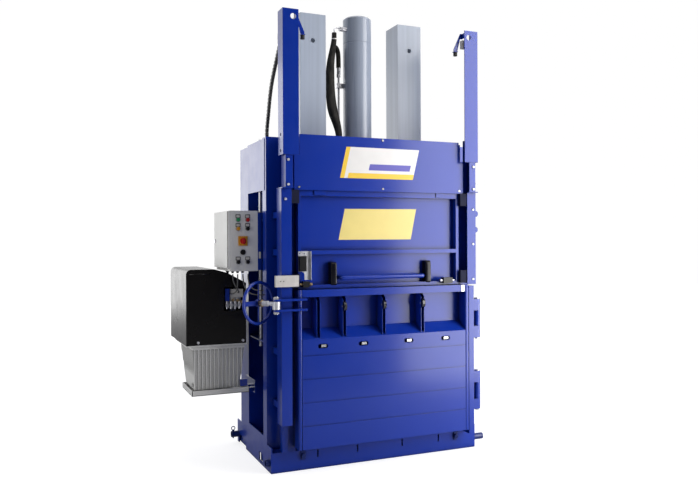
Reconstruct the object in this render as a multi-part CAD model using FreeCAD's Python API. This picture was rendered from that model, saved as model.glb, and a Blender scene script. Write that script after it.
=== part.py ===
# Vertical recycling baler: a floor-standing press with a sliding loading door, a hinged bale door,
# a hydraulic ram between two square guide tubes, and a control box and power pack on its left side.
# Millimetres. X runs to the right, Y to the back, Z up. The origin is on the floor, at the middle of
# the base frame in plan.
import FreeCAD, Part
import math
import os

from FreeCAD import Vector

os.makedirs("parts", exist_ok=True)

# ---------------------------------------------------------------- base frame
base_width = 1530.0
base_depth = 850.0
half_width = base_width / 2
half_depth = base_depth / 2
floor_z = 131.0            # top of the chamber floor
base_plate = 8.0
floor_plate = 10.0
web_x = (-600.0, -304.0, 0.0, 304.0, 600.0)
skirt_front_z = 165.0      # side skirt at its front corner
skirt_seat_z = 176.0       # where the columns stand on the side skirt
skirt_mid_z = 205.0        # side skirt between the columns
strap_x = (-446.0, -160.0, 176.0, 463.0)
strap_slot_width = 10.0
strap_slot_z = (72.0, 121.0)
strap_channel_width = 36.0
strap_channel_depth = 30.0
strap_channel_wall = 6.0
strap_floor_slot = 16.0
skirt_block_x = (-549.0, 600.0)   # bolted blocks on the front skirt
skirt_block = (28.0, 8.0)         # width, thickness
skirt_block_z = (70.0, 128.0)
skirt_bolt_across = 26.0
skirt_bolt_head = 14.0
fork_pocket = (189.0, 385.0, 66.0)          # y from, y to, height
side_pocket = (-240.0, -146.0, 20.0, 75.0)  # y from, y to, z from, z to

# ---------------------------------------------------------------- lifting bars
bar_diameter = 45.0
bar_wall = 5.0
bar_y = 388.0
bar_z = 63.0
bar_clearance = 0.3
rear_bar_x = (-half_width - 57.0, half_width + 35.0)
front_bar_x = (-half_width - 27.0, half_width + 83.0)
linch_pin_diameter = 10.0
linch_pin_clearance = 0.4
linch_pin_inset = 14.0
linch_pin_reach = (8.0, 10.0)     # below and above the pipe
linch_collar_diameter = 18.0
linch_collar_z = (0.3, 8.0)       # above the pipe
linch_ring_radius = 13.0
linch_wire_radius = 3.0

# ---------------------------------------------------------------- chamber
chamber_width = 1200.0
chamber_front = -424.0
chamber_depth = 800.0
wall = 8.0
wall_top = 2000.0
rear_rib_x = (-480.0, -240.0, 0.0, 240.0, 480.0)
rear_rib_width = 60.0
half_chamber = chamber_width / 2
chamber_back = chamber_front + chamber_depth
wall_outer = half_chamber + wall

# ---------------------------------------------------------------- side frames
column_front_y = -334.0
column_front_depth = 80.0
column_rear_y = 105.0
column_rear_depth = 209.0
column_plate = 8.0
column_top = 2174.0
rear_column_top = 2156.0
front_tube_width = 43.0
front_tube_wall = 6.0
frame_rib_z = (820.0, 1340.0, 1632.0, 2110.0)
panel_y = (-304.0, 102.0)
panel_z = (1825.0, 2165.0)
panel_sheet = 3.0
top_rail_z = (2060.0, 2182.0)
rail_hole_y = (-262.0, -176.0, -90.0)
rail_hole_radius = 11.0
rail_hole_drop = 18.7      # hole centres below the rail's top
riser_x = -half_width + 23.0       # hydraulic pipe in the recess of the left side frame
riser_y = -123.0
riser_diameter = 22.0
riser_hole_diameter = 28.0
riser_start = 40.0         # below the lowest rib
riser_union_across = 34.0
riser_union_height = 30.0
riser_union_overlap = 16.0

# ---------------------------------------------------------------- ram
tube_side = 190.0
tube_wall = 6.0
tube_x = 375.5             # tube centre to machine centre
tube_y = -80.0
tube_top = 3065.0
tube_hole_z = 2880.0
tube_hole_radius = 16.0
platen_bottom = 1838.0
platen_height = 122.0
platen_gap = 8.0           # platen to chamber wall
platen_skin = 14.0
platen_rib = 10.0
pad_clearance = 0.5
pad_width = 18.0
pad_height = 24.0
beam_top = 2160.0
beam_depth = 80.0
beam_wall = 8.0
beam_gap = 2.5
beam_tie_plate = 12.0
tube_half = tube_side / 2
bay_y = (tube_y - tube_half - beam_gap, tube_y + tube_half + beam_gap)

# ---------------------------------------------------------------- hydraulic cylinder
barrel_diameter = 205.0
barrel_bore = 160.0
barrel_bottom = 1986.0
barrel_top = 3100.0
barrel_dome = 18.0
barrel_dome_shoulder = 0.86   # share of the radius where the dome's bevel changes
barrel_dome_flat = 0.60       # share of the radius that is flat on top
barrel_dome_drop = 0.3        # share of the dome's height at its shoulder
barrel_head = 45.0            # thickness of the closed end
barrel_seam_z = barrel_top - 192.0
barrel_seam_half = 4.0
barrel_seam_depth = 2.0
barrel_flange = 250.0
barrel_flange_thick = 24.0
rod_diameter = 90.0
rod_stroke = barrel_top - barrel_bottom - 414.0
piston_height = 70.0
piston_rest = 40.0            # room under the piston at the full stroke
running_clearance = 0.05

# ---------------------------------------------------------------- hoses and pipes at the cylinder
hose_diameter = 33.0
back_hose_diameter = 30.0
hose_front_y = tube_y - 22.0
hose_back_y = tube_y + 22.0
hose_x = -187.0
hose_foot_z = beam_top
front_hose_foot_x = -170.0
back_hose_foot_x = -172.0
port_z = barrel_top - 96.0
collar_top_z = port_z - 32.0
turn_top_z = 2893.0
fitting_z = (2668.0, 2736.0)
steel_pipe_x = -137.0
# Heights and places of the two sleeved hoses' bends, from the top frame up.
front_hose_bends = ((-174.0, 2240.0), (-196.0, 2320.0), (-222.0, 2410.0), (-229.0, 2500.0),
                    (-229.0, 2590.0), (-227.0, 2680.0), (-214.0, 2770.0), (-195.0, 2850.0),
                    (hose_x, 2920.0))
back_hose_bends = ((-174.0, 2240.0), (-186.0, 2330.0), (-196.0, 2420.0), (-198.0, 2510.0),
                   (-196.0, 2600.0), (-192.0, 2690.0), (hose_x, 2770.0))
steel_pipe_diameter = 16.0
fitting_nut_across = 26.0
fitting_nut_height = 22.0
ferrule_diameter = 28.0
pipe_clamp_x = (-155.0, -97.0)
pipe_clamp_half = 14.0
pipe_clamp_z = (2590.0, 2622.0)
port_diameter = 34.0
port_reach = 26.0             # out from the barrel
port_root = 12.0              # into the barrel's wall
port_nut_across = 30.0
port_nut_length = 20.0
port_pipe_diameter = 9.0
port_pipe_bend = 16.0
port_pipe_rise = 4.0
port_pipe_end_x = -142.5
barrel_fit = 0.2

# ---------------------------------------------------------------- link chain
chain_x = -half_width + 71.0
chain_link = 25.4
chain_height = 23.0
chain_width = 20.0
chain_gap = 0.4
chain_bevel = 1.8
chain_waist = 1.5             # half the height of a link's joint
chain_bridge = (-0.55, 0.45)  # ends of the bridge, as shares of half a link
# The chain bows up and back on its way from the side frame to the post: (y, z) along it.
chain_curve = ((-126.0, 2182.0), (-128.0, 2260.0), (-150.0, 2324.0), (-195.0, 2453.0),
               (-248.0, 2555.0), (-330.0, 2655.0), (-396.0, 2729.0), (-433.0, 2767.0))
chain_angle_half = 20.0       # half the width of the angle under the chain's foot
chain_angle_sheet = 4.0
chain_plate = 8.0             # plate on the post at the chain's upper end
chain_plate_z = (12.0, 52.0)  # below and above the chain's end

# ---------------------------------------------------------------- loading door and its guides
guide_web_x = 720.0
guide_lip_x = 651.0
guide_y = (-517.0, -419.0)
guide_wall = 5.0
guide_top = 1827.0
left_guide_bottom = 330.0
right_guide_bottom = 1182.0
guide_foot_bottom = 140.0
guide_foot_x = (663.0, 702.0)
guide_foot_front = -466.0
guide_foot_wall = 4.0
guide_sole = 8.0
guide_lug_height = 40.0
guide_lug_inset = 14.0
left_lug_z = (420.0, 760.0, 1400.0, 1640.0)
right_lug_z = (1290.0, 1600.0)
insert_x = (652.0, 700.0)
insert_y = (-546.0, -458.0)
insert_wall = 6.0
insert_overlap = 160.0     # length inside the post
insert_foot = 6.0          # thickness of the foot plate
insert_foot_x = (646.0, 722.0)
post_x = (612.0, 718.0)
post_y = (-552.0, -452.0)
post_bottom = 2038.0
post_top = 2957.0
post_hole_inset = 35.0     # from the post's inner edge
post_hole_drop = 47.0      # from its top
post_hole_diameter = 38.0
post_side_hole_diameter = 22.0
post_side_hole_y = -505.0
post_side_hole_rise = (27.0, 129.0)
door_half_width = 598.0
door_front = -485.0
door_depth = 45.0
door_bottom = 1183.5
door_top = 1823.0
door_stile = 21.0
door_top_rail = 39.0
door_mid_rail_z = (1405.0, 1431.0)
door_bottom_rail = 24.0
door_sheet = 4.0
cover_front = -501.0
cover_sheet = 3.0
cover_bottom = 1820.0
cover_top = 2178.0
cover_step_z = 2043.0
cover_half_width = 627.0
cover_top_half_width = 592.0
cover_return = 26.0
hook_x = ((-488.0, -404.0), (414.0, 477.0))   # hooks on the door's top rail
hook_bottom = 1790.0
hook_thick = 6.0
hook_gap = 0.5             # under the cover
block_gap = 0.3            # slide block to the guide's front flange
block_back_y = -467.0
block_end_x = 689.0
block_height = 86.0
lower_block_z = 1195.0
upper_block_z = cover_bottom - 87.0
buffer_gap = 0.3
door_travel = 607.0
buffer_x = 568.0
buffer_y = -500.0
buffer_diameter = 28.0
buffer_height = 26.0
stop_arm_top = 2945.0
stop_arm_root = 2905.0
stop_arm_bend_x = 618.0
stop_arm_heel_x = 645.0
stop_arm_tip = (-26.0, 22.0)   # ends of the arm's lower edge, from the buffer's middle
stop_arm_nose = (22.0, 16.0)   # height of the tip at its inner and outer end
stop_arm_half = 4.0
stop_shoe_half = 16.0
stop_shoe_thick = 5.0
top_sensor_x = (604.0, 640.0)
top_sensor_y = (-34.0, -4.0)   # from the buffers' middle
top_sensor_z = (2836.0, 2892.0)

# ---------------------------------------------------------------- grips, latches and switches
grip_x = (315.0, 388.0)
grip_z = (1196.0, 1348.0)
grip_reach = 92.0
grip_shoulder = 34.0       # how far the bow's corners stand behind its middle
grip_corner = 6.0
grip_round = 8.0
handle_y = -506.0
handle_z = 1251.0
handle_diameter = 34.0
panel_front = door_front + door_depth
latch_z = 1214.0
latch_y = -505.0
latch_pin_diameter = 12.0
latch_knob_diameter = 20.0
latch_knob_length = 12.0
latch_knob_gap = 8.0
latch_pin_reach = 20.0
latch_body_z = (1196.0, 1234.0)
latch_body_front = 16.0    # in front of the pin's axis
left_latch_body_x = (-576.0, -532.0)
right_latch_body_x = (456.0, 528.0)
plate_x = (-598.0, -514.0)         # galvanised interlock plate
plate_z = (1242.0, 1426.0)
plate_notch = ((-556.0, 1284.0), (-574.0, 1296.0))
plate_sheet = 3.0
plate_fold = 18.0
plate_hole_x = (-588.0, -558.0)
plate_hole_z = 1411.0
plate_hole_diameter = 9.0
actuator_x = (-597.0, -551.0)
actuator_z = (1298.0, 1396.0)
actuator_front = 35.0
actuator_round = 5.0
light_box_x = (-766.0, -611.0)     # pale box beside the left bolt
light_box_front = -545.0
light_box_z = (1204.0, 1275.0)
light_box_step = (30.0, 9.0)      # width and depth of the step at its right end

# ---------------------------------------------------------------- bale door
bale_left = -611.0
bale_right = 654.0
bale_front = -530.0
bale_back = -430.0
bale_bottom = 160.0
bale_top = 1180.0
bale_skin = 8.0
bale_sheet = 5.0
bale_left_strip = 23.0
bale_right_strip = 29.0
shelf_front_z = 862.0
shelf_back_z = 925.0
beam_bottom = 1133.0
groove_z = (310.0, 460.0, 610.0, 760.0)
groove_width = 8.0
groove_depth = 3.0
strap_eye_z = 816.0
strap_eye = (70.0, 28.0)
fin_pair_x = (-474.5, -292.5, -6.5, 287.5)
fin_gap = 20.0
fin_sheet = 3.0
fin_front = -524.0
roller_diameter = 65.0
roller_y = -515.0
roller_z = 1065.0
roller_lip = 3.0           # width of the rim beside the strap groove
roller_groove = 2.0        # depth of the groove
roller_gap = 0.6           # to the plate on either side
fin_chin = (30.0, 1105.0)  # the corner cut off the plates' top: depth, height it starts at
fin_clear = 0.4            # over the shelf
axle_diameter = 12.0
axle_clearance = 0.3
axle_head = (18.0, 4.0)    # diameter, length
axle_head_stand = 0.2
axle_end = 2.0
strip_round = 9.0
shelf_lip = 8.5            # drop of the shelf's inner face at the back
stile_x = (654.0, 694.0)
stile_bottom = 131.0
stile_top = 1172.0
stile_gap = 2.0            # behind the stile, to the door's back plate
hinge_x = half_width - 27.0
hinge_y = -500.0
hinge_pin_diameter = 30.0
knuckle_radius = 22.0
knuckles_z = ((298.0, 369.0), (486.0, 566.0), (803.0, 886.0), (995.0, 1076.0))
hinge_gap = 0.7
hinge_arm_half = 16.0
hinge_pin_clearance = 0.3
hinge_pin_head = (38.0, 8.6)    # diameter, height
hinge_pin_foot = 10.0
hinge_pin_stand = 0.4

# ---------------------------------------------------------------- bale door lock
lock_x = bale_left - 155.0
lock_y = -550.0
lock_z = 1099.0
lock_pin_diameter = 24.0
lock_bar_z = (1051.0, 1115.0)
lock_bar_thick = 14.0
lock_bar_depth = 36.0
lock_bar_right = -565.0
lock_angle = 120.0         # direction of the spindle in plan, as it stands
spindle_diameter = 28.0
spindle_neck = 22.0
eye_radius = 24.0
sleeve_s = (72.0, 112.0)   # distances from the pin along the spindle
nut_s = (112.3, 129.0)
hub_s = (140.0, 166.0)
spindle_end = 172.0
wheel_radius = 141.0
wheel_rim = 20.0
wheel_hub_diameter = 46.0
wheel_hub_clearance = 3.0
wheel_bar_half_height = 15.0    # flat bar across the wheel
wheel_bar_half_thick = 4.0
wheel_rod_diameter = 9.0        # thin rod up and down
shoulder_end = 46.0             # distance from the pin where the spindle gets thinner
sleeve_diameter = 34.0
sleeve_clearance = 0.4
nut_across = 40.0
nut_barrel = 34.0
lock_pin_clearance = 0.3
lock_bolt_across = 32.0
lock_bolt_head = 12.8
lock_bolt_reach = 16.0
lock_bolt_stand = 0.2
eye_gap = 1.0

# ---------------------------------------------------------------- control box
box_gap = 28.0             # side frame to box: the channel between them
box_x = (-half_width - box_gap - 200.0, -half_width - box_gap)
box_y = (-235.0, 165.0)
box_z = (1295.0, 1693.0)
box_door_z = (1314.0, 1690.0)
box_window_margin = 14.0
box_door = 16.0
box_sheet = 2.0
box_lid_gap = 0.5
box_bracket_sheet = 4.0
box_bracket_z = (1300.0, 1680.0)
cable_slot_width = 12.0
cable_slot_z = (1384.0, 1416.0)
button_x = (box_x[0] + 67.0, box_x[0] + 131.0)
button_rows_z = (1633.0, 1575.0, 1356.0)
button_diameter = 24.0
button_hole = 20.0
button_bezel = 30.0
bezel_height = 2.5
button_travel = 4.0
button_cap = 8.0
button_depth = 26.0
button_gap = 0.5
button_keeper = (26.0, 6.0)        # diameter, thickness
main_switch_x = box_x[0] + 99.0
main_switch_z = 1494.0
main_switch_plate = 62.0
main_switch_sheet = 4.0
main_switch_bore = 22.0
switch_disc = (40.0, 8.5)          # diameter, thickness
switch_bar = (14.0, 40.0, 18.0)    # width, height, thickness
switch_gap = 0.5
switch_stem = (16.0, 24.0)         # diameter, depth
plug_z = 1420.0
plug_diameter = 35.0
plug_height = 5.0
gland_x = tuple(box_x[0] + step for step in (53.0, 88.0, 123.0, 158.0))
gland_hole = 16.0
gland_thread = (15.6, 10.0)        # diameter, height in the box
gland_nut = (22.0, 12.0)           # across flats, height
gland_spout = (17.0, 10.0)         # diameter, length
cam_y = 129.0
cam_z = 1494.0
cam_hole = 20.4
cam_head = (28.0, 5.0)             # diameter, height
cam_barrel = (20.0, 9.0)
cam_gap = 0.2
cam_slot = (4.0, 18.0)             # width, length
cam_tongue = (16.0, 3.0, 30.0, 8.0)   # width, thickness, reach down, reach up
box_hinge_diameter = 9.0
box_hinge_length = 40.0
box_hinge_offset = 5.0
box_hinge_inset = (60.0, 100.0)    # from the box's bottom and top

# ---------------------------------------------------------------- power pack
pack_x = -half_width - 93.0    # right side of the power pack
hood_x = (pack_x - 397.0, pack_x)
hood_y = (-175.0, 409.0)
hood_z = (815.0, 1309.0)
hood_sheet = 4.0
hood_cut_x = (pack_x - 149.0, pack_x - 8.0)
hood_cut_z = (1034.0, 1191.0)
hood_round = 34.0
hood_arc_middle = 0.293    # share of the radius at the middle of the rounding
# Corners of the sloped top: distance from the hood's right side, drop from its top.
hood_slope = ((212.0, 0.0), (127.0, 24.0), (47.0, 68.0), (0.0, 94.0))
hood_foot_gap = 0.5
tank_top_x = (pack_x - 357.0, pack_x - 11.0)
tank_bottom_x = (pack_x - 339.0, pack_x - 43.0)
tank_top_y = (-170.0, 256.0)
tank_bottom_y = (-165.0, 146.0)
tank_z = (524.0, 805.0)
tank_rib = 8.0
tank_rib_width = 7.0
tank_rib_pitch = 26.0
tank_rib_start = 12.0
tank_rim = 20.0
tank_lid_edge = (6.0, 8.0)     # inside the hood at the left, past the rim at the back
tank_foot_diameter = 40.0
tank_foot_inset = 30.0
drain_y = -110.0
drain_z = 552.0
drain_hex = (24.0, 10.0)       # across flats, thickness
drain_neck = (14.0, 6.0, 8.0)  # diameter, length out of the tank, length in its wall
tray_x = (pack_x - 350.0, pack_x + 15.0)
tray_y = (-190.0, 275.0)
tray_z = (490.0, 524.0)
tray_sheet = 4.0
tray_arm_y = ((-150.0, -110.0), (190.0, 230.0))
tray_arm_height = 36.0
console_y = (-330.0, 300.0)    # plate on the side frame that carries the tray
console_z = (430.0, 620.0)
console_sheet = 8.0
console_bracket_y = (-190.0, -150.0)
console_bracket_z = (500.0, 577.0)
motor_x = pack_x - 252.0
motor_y = 60.0
motor_foot = (230.0, 14.0)     # diameter, height
motor_barrel = (190.0, 330.0)
motor_fan = (200.0, 50.0)
motor_fins = 12
motor_fin = (85.0, 112.0, 4.0)     # from and to the axis, thickness
motor_fin_z = (40.0, 300.0)
valve_x = (pack_x - 127.0, pack_x - 27.0)
valve_y = (-140.0, -60.0)
valve_z = (1050.0, 1130.0)
valve_stand_inset = (25.0, 20.0)   # from the block's sides, front and back
union_across = 22.0
union_length = 16.0
union_pipe = (13.0, 26.0)          # diameter, how far it stands out
# Unions on the block's front: distance from its left side, height over its bottom.
union_at = ((23.0, 22.0), (53.0, 22.0), (83.0, 22.0), (38.0, 58.0), (73.0, 58.0))
coil = (36.0, 50.0)                # diameter, height
coil_inset = 23.0

# ---------------------------------------------------------------- screws on show
insert_screw_x = 683.0
insert_screw_z = (2006.0, 1850.0)
insert_screw = (15.0, 9.0)         # across flats, height
guide_screw_x = 697.0
guide_screw_z = (1708.0, 1465.0, 1218.0)
guide_screw = (13.0, 6.0)
left_guide_screw = (-692.0, 1759.0, 15.0, 8.0)   # x, z, across flats, height


# ================================================================ helpers
def box(x, y, z):
    """A box from three (low, high) pairs, in either order."""
    low = Vector(min(x), min(y), min(z))
    return Part.makeBox(max(x) - low.x, max(y) - low.y, max(z) - low.z, low)


def cylinder(diameter, start, end):
    """A round bar between two points."""
    start, end = Vector(*start), Vector(*end)
    return Part.makeCylinder(diameter / 2, (end - start).Length, start, end - start)


def prism(points, plane, low, high):
    """An outline in the plane 'xy', 'xz' or 'yz', extruded along the third axis."""
    place = {"xy": lambda a, b: Vector(a, b, low),
             "xz": lambda a, b: Vector(a, low, b),
             "yz": lambda a, b: Vector(low, a, b)}[plane]
    along = {"xy": Vector(0, 0, 1), "xz": Vector(0, 1, 0), "yz": Vector(1, 0, 0)}[plane]
    corners = [place(a, b) for a, b in points]
    face = Part.Face(Part.makePolygon(corners + corners[:1]))
    return face.extrude(along * (high - low))


def fuse(shapes):
    """One solid from shapes that touch or overlap."""
    shapes = list(shapes)
    return shapes[0].multiFuse(shapes[1:]).removeSplitter() if len(shapes) > 1 else shapes[0]


def cut(shape, tools):
    for tool in tools:
        shape = shape.cut(tool)
    return shape


def mirrored(shape):
    """The same piece on the other side of the machine."""
    return shape.mirror(Vector(0, 0, 0), Vector(1, 0, 0))


def both(shape):
    """A piece and its mirror image, as two separate solids."""
    return Part.makeCompound([shape, mirrored(shape)])


def square_tube(x, y, z, thick, axis):
    """A hollow rectangular tube with open ends."""
    inner = {"x": (x, inset(y, thick), inset(z, thick)),
             "y": (inset(x, thick), y, inset(z, thick)),
             "z": (inset(x, thick), inset(y, thick), z)}[axis]
    return box(x, y, z).cut(box(*inner))


def inset(pair, by):
    return (min(pair) + by, max(pair) - by)


def hex_head(across, start, end):
    """A hexagon bolt head or nut between two points, with a flat facing up."""
    start, end = Vector(*start), Vector(*end)
    along = (end - start).normalize()
    side = Vector(0, 0, 1) if abs(along.z) < 0.9 else Vector(1, 0, 0)
    other = along.cross(side)
    radius = across / math.sqrt(3)
    corners = []
    for step in range(6):
        turn = math.radians(60 * step + 30)
        corners.append(start + side * (radius * math.sin(turn)) + other * (radius * math.cos(turn)))
    face = Part.Face(Part.makePolygon(corners + corners[:1]))
    return face.extrude(along * (end - start).Length)


def tube_path(points, diameter, bend=None):
    """A round bar along straight runs joined by tangent arcs."""
    points = [Vector(*p) for p in points]
    edges = []
    last = points[0]
    for before, here, after in zip(points, points[1:], points[2:]):
        to_before = (before - here).normalize()
        to_after = (after - here).normalize()
        half_turn = (math.pi - to_before.getAngle(to_after)) / 2
        shorter = min((here - before).Length, (after - here).Length)
        reach = 0.45 * shorter
        radius = reach / math.tan(half_turn)
        if bend and radius > bend:
            radius = bend
            reach = radius * math.tan(half_turn)
        enter, leave = here + to_before * reach, here + to_after * reach
        bisector = (to_before + to_after).normalize()
        centre = here + bisector * (radius / math.cos(half_turn))
        middle = centre - bisector * radius
        edges.append(Part.LineSegment(last, enter).toShape())
        edges.append(Part.Arc(enter, middle, leave).toShape())
        last = leave
    edges.append(Part.LineSegment(last, points[-1]).toShape())
    wire = Part.Wire(edges)
    start_way = (points[1] - points[0]).normalize()
    ring = Part.Wire(Part.makeCircle(diameter / 2, points[0], start_way))
    return wire.makePipeShell([ring], True, True)


def write(node, shape):
    shape.exportStep("parts/" + node + ".step")
    solids = len(shape.Solids)
    valid = "valid" if shape.isValid() else "NOT VALID"
    print(f"{node:22s} {solids:3d} solids {shape.Volume / 1e3:12.1f} cm3 {valid}")


# ================================================================ base
def base_frame():
    """Skirt plates, webs and chamber floor, with strap channels under the floor."""
    inner_x = inset((-half_width, half_width), base_plate)
    inner_y = inset((-half_depth, half_depth), base_plate)
    under_floor = floor_z - floor_plate
    plates = [
        box((-half_width, half_width), (-half_depth, inner_y[0]), (0, floor_z)),
        box((-half_width, half_width), (inner_y[1], half_depth), (0, floor_z)),
        box(inner_x, inner_y, (under_floor, floor_z)),
    ]
    front_column = (column_front_y, column_front_y + column_front_depth)
    rear_column = (column_rear_y, column_rear_y + column_rear_depth)
    skirt = [(-half_depth, 0), (half_depth, 0), (half_depth, skirt_front_z),
             (rear_column[1], skirt_front_z), (rear_column[1], skirt_seat_z),
             (rear_column[0], skirt_seat_z), (rear_column[0], skirt_mid_z),
             (front_column[1], skirt_mid_z), (front_column[1], skirt_seat_z),
             (front_column[0], skirt_seat_z), (front_column[0], skirt_front_z),
             (-half_depth, skirt_front_z)]
    plates.append(prism(skirt, "yz", -half_width, inner_x[0]))
    plates.append(prism(skirt, "yz", inner_x[1], half_width))
    for x in web_x:
        plates.append(box((x - base_plate / 2, x + base_plate / 2), inner_y, (0, under_floor)))
    channel_bottom = under_floor - strap_channel_depth
    for x in strap_x:
        plates.append(box((x - strap_channel_width / 2, x + strap_channel_width / 2), inner_y,
                          (channel_bottom, under_floor)))
    frame = fuse(plates)

    holes = []
    for x in strap_x:
        groove = inset((x - strap_channel_width / 2, x + strap_channel_width / 2), strap_channel_wall)
        holes.append(box(groove, inner_y, (channel_bottom + strap_channel_wall, under_floor)))
        holes.append(box((x - strap_floor_slot / 2, x + strap_floor_slot / 2),
                         inset(inner_y, strap_floor_slot), (under_floor - 1, floor_z + 1)))
        holes.append(box((x - strap_slot_width / 2, x + strap_slot_width / 2),
                         (-half_depth - 1, inner_y[0] + 1), strap_slot_z))
    for side in (-1, 1):
        sheet = (side * (half_width + 1), side * (half_width - base_plate - 1))
        holes.append(box(sheet, fork_pocket[:2], (-1, fork_pocket[2])))
        holes.append(box(sheet, side_pocket[:2], side_pocket[2:]))
        holes.append(cylinder(bar_diameter + 2 * bar_clearance,
                              (-half_width - 1, side * bar_y, bar_z), (half_width + 1, side * bar_y, bar_z)))
    return cut(frame, holes)


def lifting_bars():
    """Two pipes across the base that slings or a pallet truck take hold of."""
    bars = []
    for (x0, x1), y in ((rear_bar_x, bar_y), (front_bar_x, -bar_y)):
        pipe = cylinder(bar_diameter, (x0, y, bar_z), (x1, y, bar_z))
        bore = cylinder(bar_diameter - 2 * bar_wall, (x0 - 1, y, bar_z), (x1 + 1, y, bar_z))
        bars.append(pipe.cut(bore))
    pin_x = rear_bar_x[0] + linch_pin_inset
    pin_hole = cylinder(linch_pin_diameter + linch_pin_clearance, (pin_x, bar_y, 0),
                        (pin_x, bar_y, 2 * bar_z))
    bars[0] = bars[0].cut(pin_hole)
    return Part.makeCompound(bars + [linch_pin()])


def linch_pin():
    """The pin that keeps the rear bar in the base, with its pull ring."""
    pin_x = rear_bar_x[0] + linch_pin_inset
    bar_top = bar_z + bar_diameter / 2
    bar_bottom = bar_z - bar_diameter / 2
    collar_top = bar_top + linch_collar_z[1]
    shank = cylinder(linch_pin_diameter, (pin_x, bar_y, bar_bottom - linch_pin_reach[0]),
                     (pin_x, bar_y, bar_top + linch_pin_reach[1]))
    collar = cylinder(linch_collar_diameter, (pin_x, bar_y, bar_top + linch_collar_z[0]),
                      (pin_x, bar_y, collar_top))
    ring = Part.makeTorus(linch_ring_radius, linch_wire_radius,
                          Vector(pin_x, bar_y, collar_top + linch_ring_radius), Vector(0, 1, 0))
    return fuse([shank, collar, ring])


# ================================================================ chamber and side frames
def chamber_walls():
    """The two side walls, and the back plate with its folded stiffeners."""
    side = box((half_chamber, wall_outer), (chamber_front, chamber_back), (floor_z, wall_top))
    plate = box((-wall_outer, wall_outer), (chamber_back, chamber_back + wall), (floor_z, wall_top))
    ribs = []
    for x in rear_rib_x:
        width = (x - rear_rib_width / 2, x + rear_rib_width / 2)
        rib = box(width, (chamber_back + wall, half_depth), (floor_z, wall_top))
        hollow = box(inset(width, front_tube_wall), (chamber_back + wall, half_depth - front_tube_wall),
                     (floor_z, wall_top))
        ribs.append(rib.cut(hollow))
    return Part.makeCompound([side, mirrored(side), fuse([plate] + ribs)])


def side_frame():
    """The plates of the right side frame: front post, channel columns, cross ribs and top rail."""
    front = (column_front_y, column_front_y + column_plate)
    back_edge = column_front_y + column_front_depth
    rear = (column_rear_y, column_rear_y + column_rear_depth)
    outer = (half_width - column_plate, half_width)
    inner = (wall_outer, half_width - column_plate)
    rail = box((wall_outer, wall_outer + column_plate), (front[1], rear[0]), top_rail_z)
    plates = [
        square_tube((wall_outer, wall_outer + front_tube_width), (chamber_front, column_front_y),
                    (floor_z, column_top), front_tube_wall, "z"),
        box(inner, front, (floor_z, column_top)),
        box(outer, (column_front_y, back_edge), (skirt_seat_z, column_top)),
        box(inner, (rear[0], rear[0] + column_plate), (floor_z, rear_column_top)),
        box(inner, (rear[1] - column_plate, rear[1]), (floor_z, rear_column_top)),
        box(outer, rear, (skirt_seat_z, rear_column_top)),
    ]
    riser_hole = cylinder(riser_hole_diameter, (-riser_x, riser_y, floor_z),
                          (-riser_x, riser_y, frame_rib_z[-1] - 1))
    for z in frame_rib_z:
        rib = box(inner, (front[1], rear[0]), (z, z + column_plate))
        plates.append(cut(rib, [rail, riser_hole]))
    hole_z = top_rail_z[1] - rail_hole_drop
    holes = []
    for y in rail_hole_y:
        holes.append(cylinder(2 * rail_hole_radius, (wall_outer - 1, y, hole_z),
                              (wall_outer + column_plate + 1, y, hole_z)))
    plates.append(cut(rail, holes))
    return plates


def side_frames():
    """Both side frames, the sheet panels on their upper ends, and the bale door's hinge barrels."""
    plates = side_frame()
    plates.append(box((half_width, half_width + panel_sheet), panel_y, panel_z))
    return Part.makeCompound(plates + [mirrored(plate) for plate in plates] + hinge_brackets())


def riser_pipe():
    """The hydraulic pipe that climbs to the cylinder inside the left side frame."""
    x = riser_x
    top = frame_rib_z[-1]
    pipe = cylinder(riser_diameter, (x, riser_y, frame_rib_z[0] - riser_start),
                    (x, riser_y, top - riser_union_height + riser_union_overlap))
    union = hex_head(riser_union_across, (x, riser_y, top - riser_union_height), (x, riser_y, top))
    return fuse([pipe, union])


# ================================================================ top frame and ram
def top_frame():
    """Two box beams across the walls, tied by plates beside the tubes and a block for the cylinder."""
    beam_z = (wall_top, beam_top)
    span = (-wall_outer, wall_outer)
    pieces = [
        square_tube(span, (bay_y[0] - beam_depth, bay_y[0]), beam_z, beam_wall, "x"),
        square_tube(span, (bay_y[1], bay_y[1] + beam_depth), beam_z, beam_wall, "x"),
        box((-barrel_flange / 2, barrel_flange / 2), bay_y, beam_z),
    ]
    for side in (-1, 1):
        for edge in (-1, 1):
            near = side * tube_x + edge * (tube_half + beam_gap)
            pieces.append(box((near, near + edge * beam_tie_plate), bay_y, beam_z))
    frame = fuse(pieces)
    bore = cylinder(barrel_diameter + 2 * pad_clearance, (0, tube_y, wall_top - 1), (0, tube_y, beam_top + 1))
    return frame.cut(bore)


def guide_pads():
    """Plastic frames on the beams in which the square tubes slide."""
    inner = tube_half + pad_clearance
    outer = inner + pad_width
    pad = box((tube_x - outer, tube_x + outer), (tube_y - outer, tube_y + outer),
              (beam_top, beam_top + pad_height))
    pad = pad.cut(box((tube_x - inner, tube_x + inner), (tube_y - inner, tube_y + inner),
                      (beam_top - 1, beam_top + pad_height + 1)))
    return both(pad)


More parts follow.
